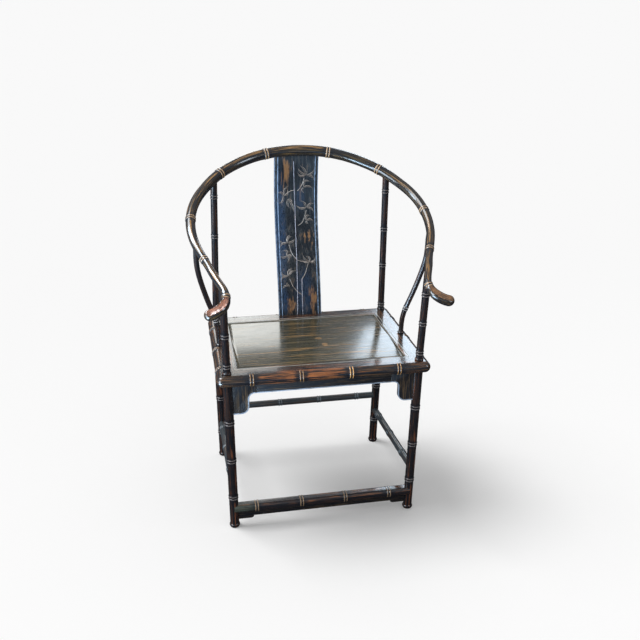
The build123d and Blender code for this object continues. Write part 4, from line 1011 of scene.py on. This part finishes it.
leaves = [leaf_places(root, (x, z), bend) for root, tips in SPRAYS for x, z, bend in tips]
carved("splat_culms", "culm", CULMS, width=CULM_WIDTH, height=CULM_HEIGHT, section=domed, taper=culm_taper,
       across=4, along=40)
carved("splat_branches", "carving", BRANCHES, width=BRANCH_WIDTH, height=BRANCH_HEIGHT, section=domed,
       taper=branch_taper, across=4, along=16)
carved("splat_leaves", "carving", leaves, width=LEAF_WIDTH, height=LEAF_HEIGHT, section=two_rims,
       taper=leaf_taper, across=10, along=14)


# ---------------------------------------------------------------- lights and floor
FLOOR_REACH = 200.0                # metres from the floor's middle to its edges
SEAT_MIDDLE = (0.0, 0.0, 0.5)
WHITE, BLUISH, BLUE = (0.98, 1.0, 0.97), (0.74, 0.87, 1.0), (0.55, 0.78, 1.0)
LAMP_POWER = 4.0                   # watts of a square metre of lamp for each step of brightness
SUN_STRENGTH = 1.9
SUN_SPREAD = math.radians(34)      # a wide sun, for the soft edge of the shadow
TOWARDS_SUN = (-0.56, 0.26, 1.0)
WHITE_LEVEL = 0.945                # what the camera sees behind the chair
NEAR_WHITE_LEVEL = 0.98            # and on the camera's own side of it
LOW_SKY, HIGH_SKY = color(0.07, 0.075, 0.09), color(0.34, 0.34, 0.35)      # what the lacquer mirrors
FLOOR_MIRRORED, FLOOR_BY_WINDOW = color(0.07, 0.07, 0.08), color(0.34, 0.48, 0.66)
TOWARDS_WINDOW = (-0.8, -0.6)
WINDOW_FROM, WINDOW_TO = 0.6, 2.2  # metres towards the window, over which the mirrored floor gets bluish
ROOM_LEVEL = 0.47                  # how bright the room round the chair is
FLOOR_LEVEL, FLOOR_BOUNCE = 0.88, 0.55     # the floor as the camera sees it, and as it lights the chair
FLOOR_GLOW = 0.08
FLOOR_NEAR_GLOW = 0.035            # more of it towards the camera
GLOW_FROM, GLOW_TO = 2.0, -1.0     # metres behind the chair's middle

floor_work = bmesh.new()
bmesh.ops.create_grid(floor_work, x_segments=1, y_segments=1, size=FLOOR_REACH)
floor_mesh = bpy.data.meshes.new("floor")
floor_work.to_mesh(floor_mesh)
floor_work.free()
floor = bpy.data.objects.new("floor", floor_mesh)
bpy.context.scene.collection.objects.link(floor)


def all_but(name, pieces):
    """A light's receivers: everything except some pieces."""
    receivers = bpy.data.collections.new(name)
    for piece in pieces:
        receivers.objects.link(piece)
    for member in receivers.collection_objects:
        member.light_linking.link_state = "EXCLUDE"
    return receivers


# the lamps light the chair alone, so that the floor keeps one even white and only the sun's soft shadow;
# the light from low on the left is kept off the posts and the brace on its own side
not_lamp_lit = all_but("not_lamp_lit", [floor])
not_low_lit = all_but("not_low_lit", [floor, left_brace] + posts)


def area_light(name, place, aim, size, brightness, tone, mirrored=True, receivers=not_lamp_lit):
    """A soft rectangular lamp whose energy follows its size."""
    data = bpy.data.lights.new(name, "AREA")
    data.shape = "RECTANGLE"
    data.size, data.size_y = size
    data.energy = LAMP_POWER * size[0] * size[1] * brightness
    data.color = tone
    light = bpy.data.objects.new(name, data)
    light.location = place
    light.rotation_euler = (Vector(aim) - Vector(place)).to_track_quat("-Z", "Y").to_euler()
    light.visible_camera = False
    light.visible_glossy = mirrored
    light.light_linking.receiver_collection = receivers
    bpy.context.scene.collection.objects.link(light)


# name, place, what it points at, width and height, brightness and tone
area_light("key", (-1.3, -1.5, 2.6), SEAT_MIDDLE, (0.8, 0.8), 16.0, WHITE, mirrored=False)
area_light("left_window", (-2.1, -1.0, 0.95), (0.2, 0.0, 0.8), (1.2, 1.4), 7.5, BLUISH)
area_light("bright_floor", (-1.25, -0.95, 0.02), (-1.25, -0.95, 1.0), (1.1, 1.0), 18.0, BLUE,
           receivers=not_low_lit)
area_light("high_left_window", (-0.80, 0.20, 1.45), (-0.3, -0.1, 0.8), (0.22, 0.8), 11.0, BLUISH)
area_light("right_window", (1.6, -1.7, 1.5), (0.0, 0.2, 0.9), (0.5, 1.0), 6.0, BLUISH)
area_light("rear_left_window", (-0.1, 3.2, 1.66), SEAT_MIDDLE, (1.0, 0.8), 2.6, WHITE)
area_light("rear_right_window", (1.50, 3.2, 2.16), SEAT_MIDDLE, (0.8, 1.0), 4.4, BLUISH)

sun_data = bpy.data.lights.new("soft_sun", "SUN")
sun_data.energy = SUN_STRENGTH
sun_data.angle = SUN_SPREAD
sun = bpy.data.objects.new("soft_sun", sun_data)
sun.rotation_euler = Vector(TOWARDS_SUN).to_track_quat("Z", "Y").to_euler()
bpy.context.scene.collection.objects.link(sun)

world = bpy.data.worlds.new("studio")
world.use_nodes = True
studio = Recipe(world.node_tree)
background = world.node_tree.nodes["Background"]
ray = studio.add("ShaderNodeLightPath").outputs
sight = studio.split(studio.add("ShaderNodeTexCoord").outputs["Generated"])
sky = studio.mix(studio.ramp(sight[2], 0.0, 0.8), LOW_SKY, HIGH_SKY)
soft = studio.mix(ray["Is Glossy Ray"], grey(ROOM_LEVEL), sky)
white = studio.mix(studio.ramp(sight[1], 0.1, -0.1), grey(WHITE_LEVEL), grey(NEAR_WHITE_LEVEL))
studio.put(studio.mix(ray["Is Camera Ray"], soft, white), background.inputs["Color"])
bpy.context.scene.world = world

# in the lacquer the floor mirrors as a dim room: bluish towards the window on the left
floor_material = bpy.data.materials.new("pale_floor")
floor_material.use_nodes = True
floor_look = Recipe(floor_material.node_tree)
floor_shader = floor_material.node_tree.nodes["Principled BSDF"]
ray = floor_look.add("ShaderNodeLightPath").outputs
place = floor_look.split(floor_look.add("ShaderNodeTexCoord").outputs["Object"])
leftwards = floor_look.math("MULTIPLY", place[0], TOWARDS_WINDOW[0])
frontwards = floor_look.math("MULTIPLY", place[1], TOWARDS_WINDOW[1])
by_window = floor_look.ramp(floor_look.math("ADD", leftwards, frontwards), WINDOW_FROM, WINDOW_TO)
dim_floor = floor_look.mix(by_window, FLOOR_MIRRORED, FLOOR_BY_WINDOW)
floor_white = floor_look.mix(ray["Is Camera Ray"], grey(FLOOR_BOUNCE), grey(FLOOR_LEVEL))
floor_base = floor_look.mix(ray["Is Glossy Ray"], floor_white, dim_floor)
floor_look.put(floor_base, floor_shader.inputs["Base Color"])
glow = floor_look.ramp(place[1], GLOW_FROM, GLOW_TO, FLOOR_GLOW, FLOOR_GLOW + FLOOR_NEAR_GLOW)
glow = floor_look.math("MULTIPLY", ray["Is Camera Ray"], glow)
floor_look.put(glow, floor_shader.inputs["Emission Strength"])
floor_shader.inputs["Emission Color"].default_value = grey(1.0)
floor_shader.inputs["Roughness"].default_value = 0.9
floor_shader.inputs["Specular IOR Level"].default_value = 0.0
floor_mesh.materials.append(floor_material)
bpy.context.scene.view_settings.view_transform = "Standard"
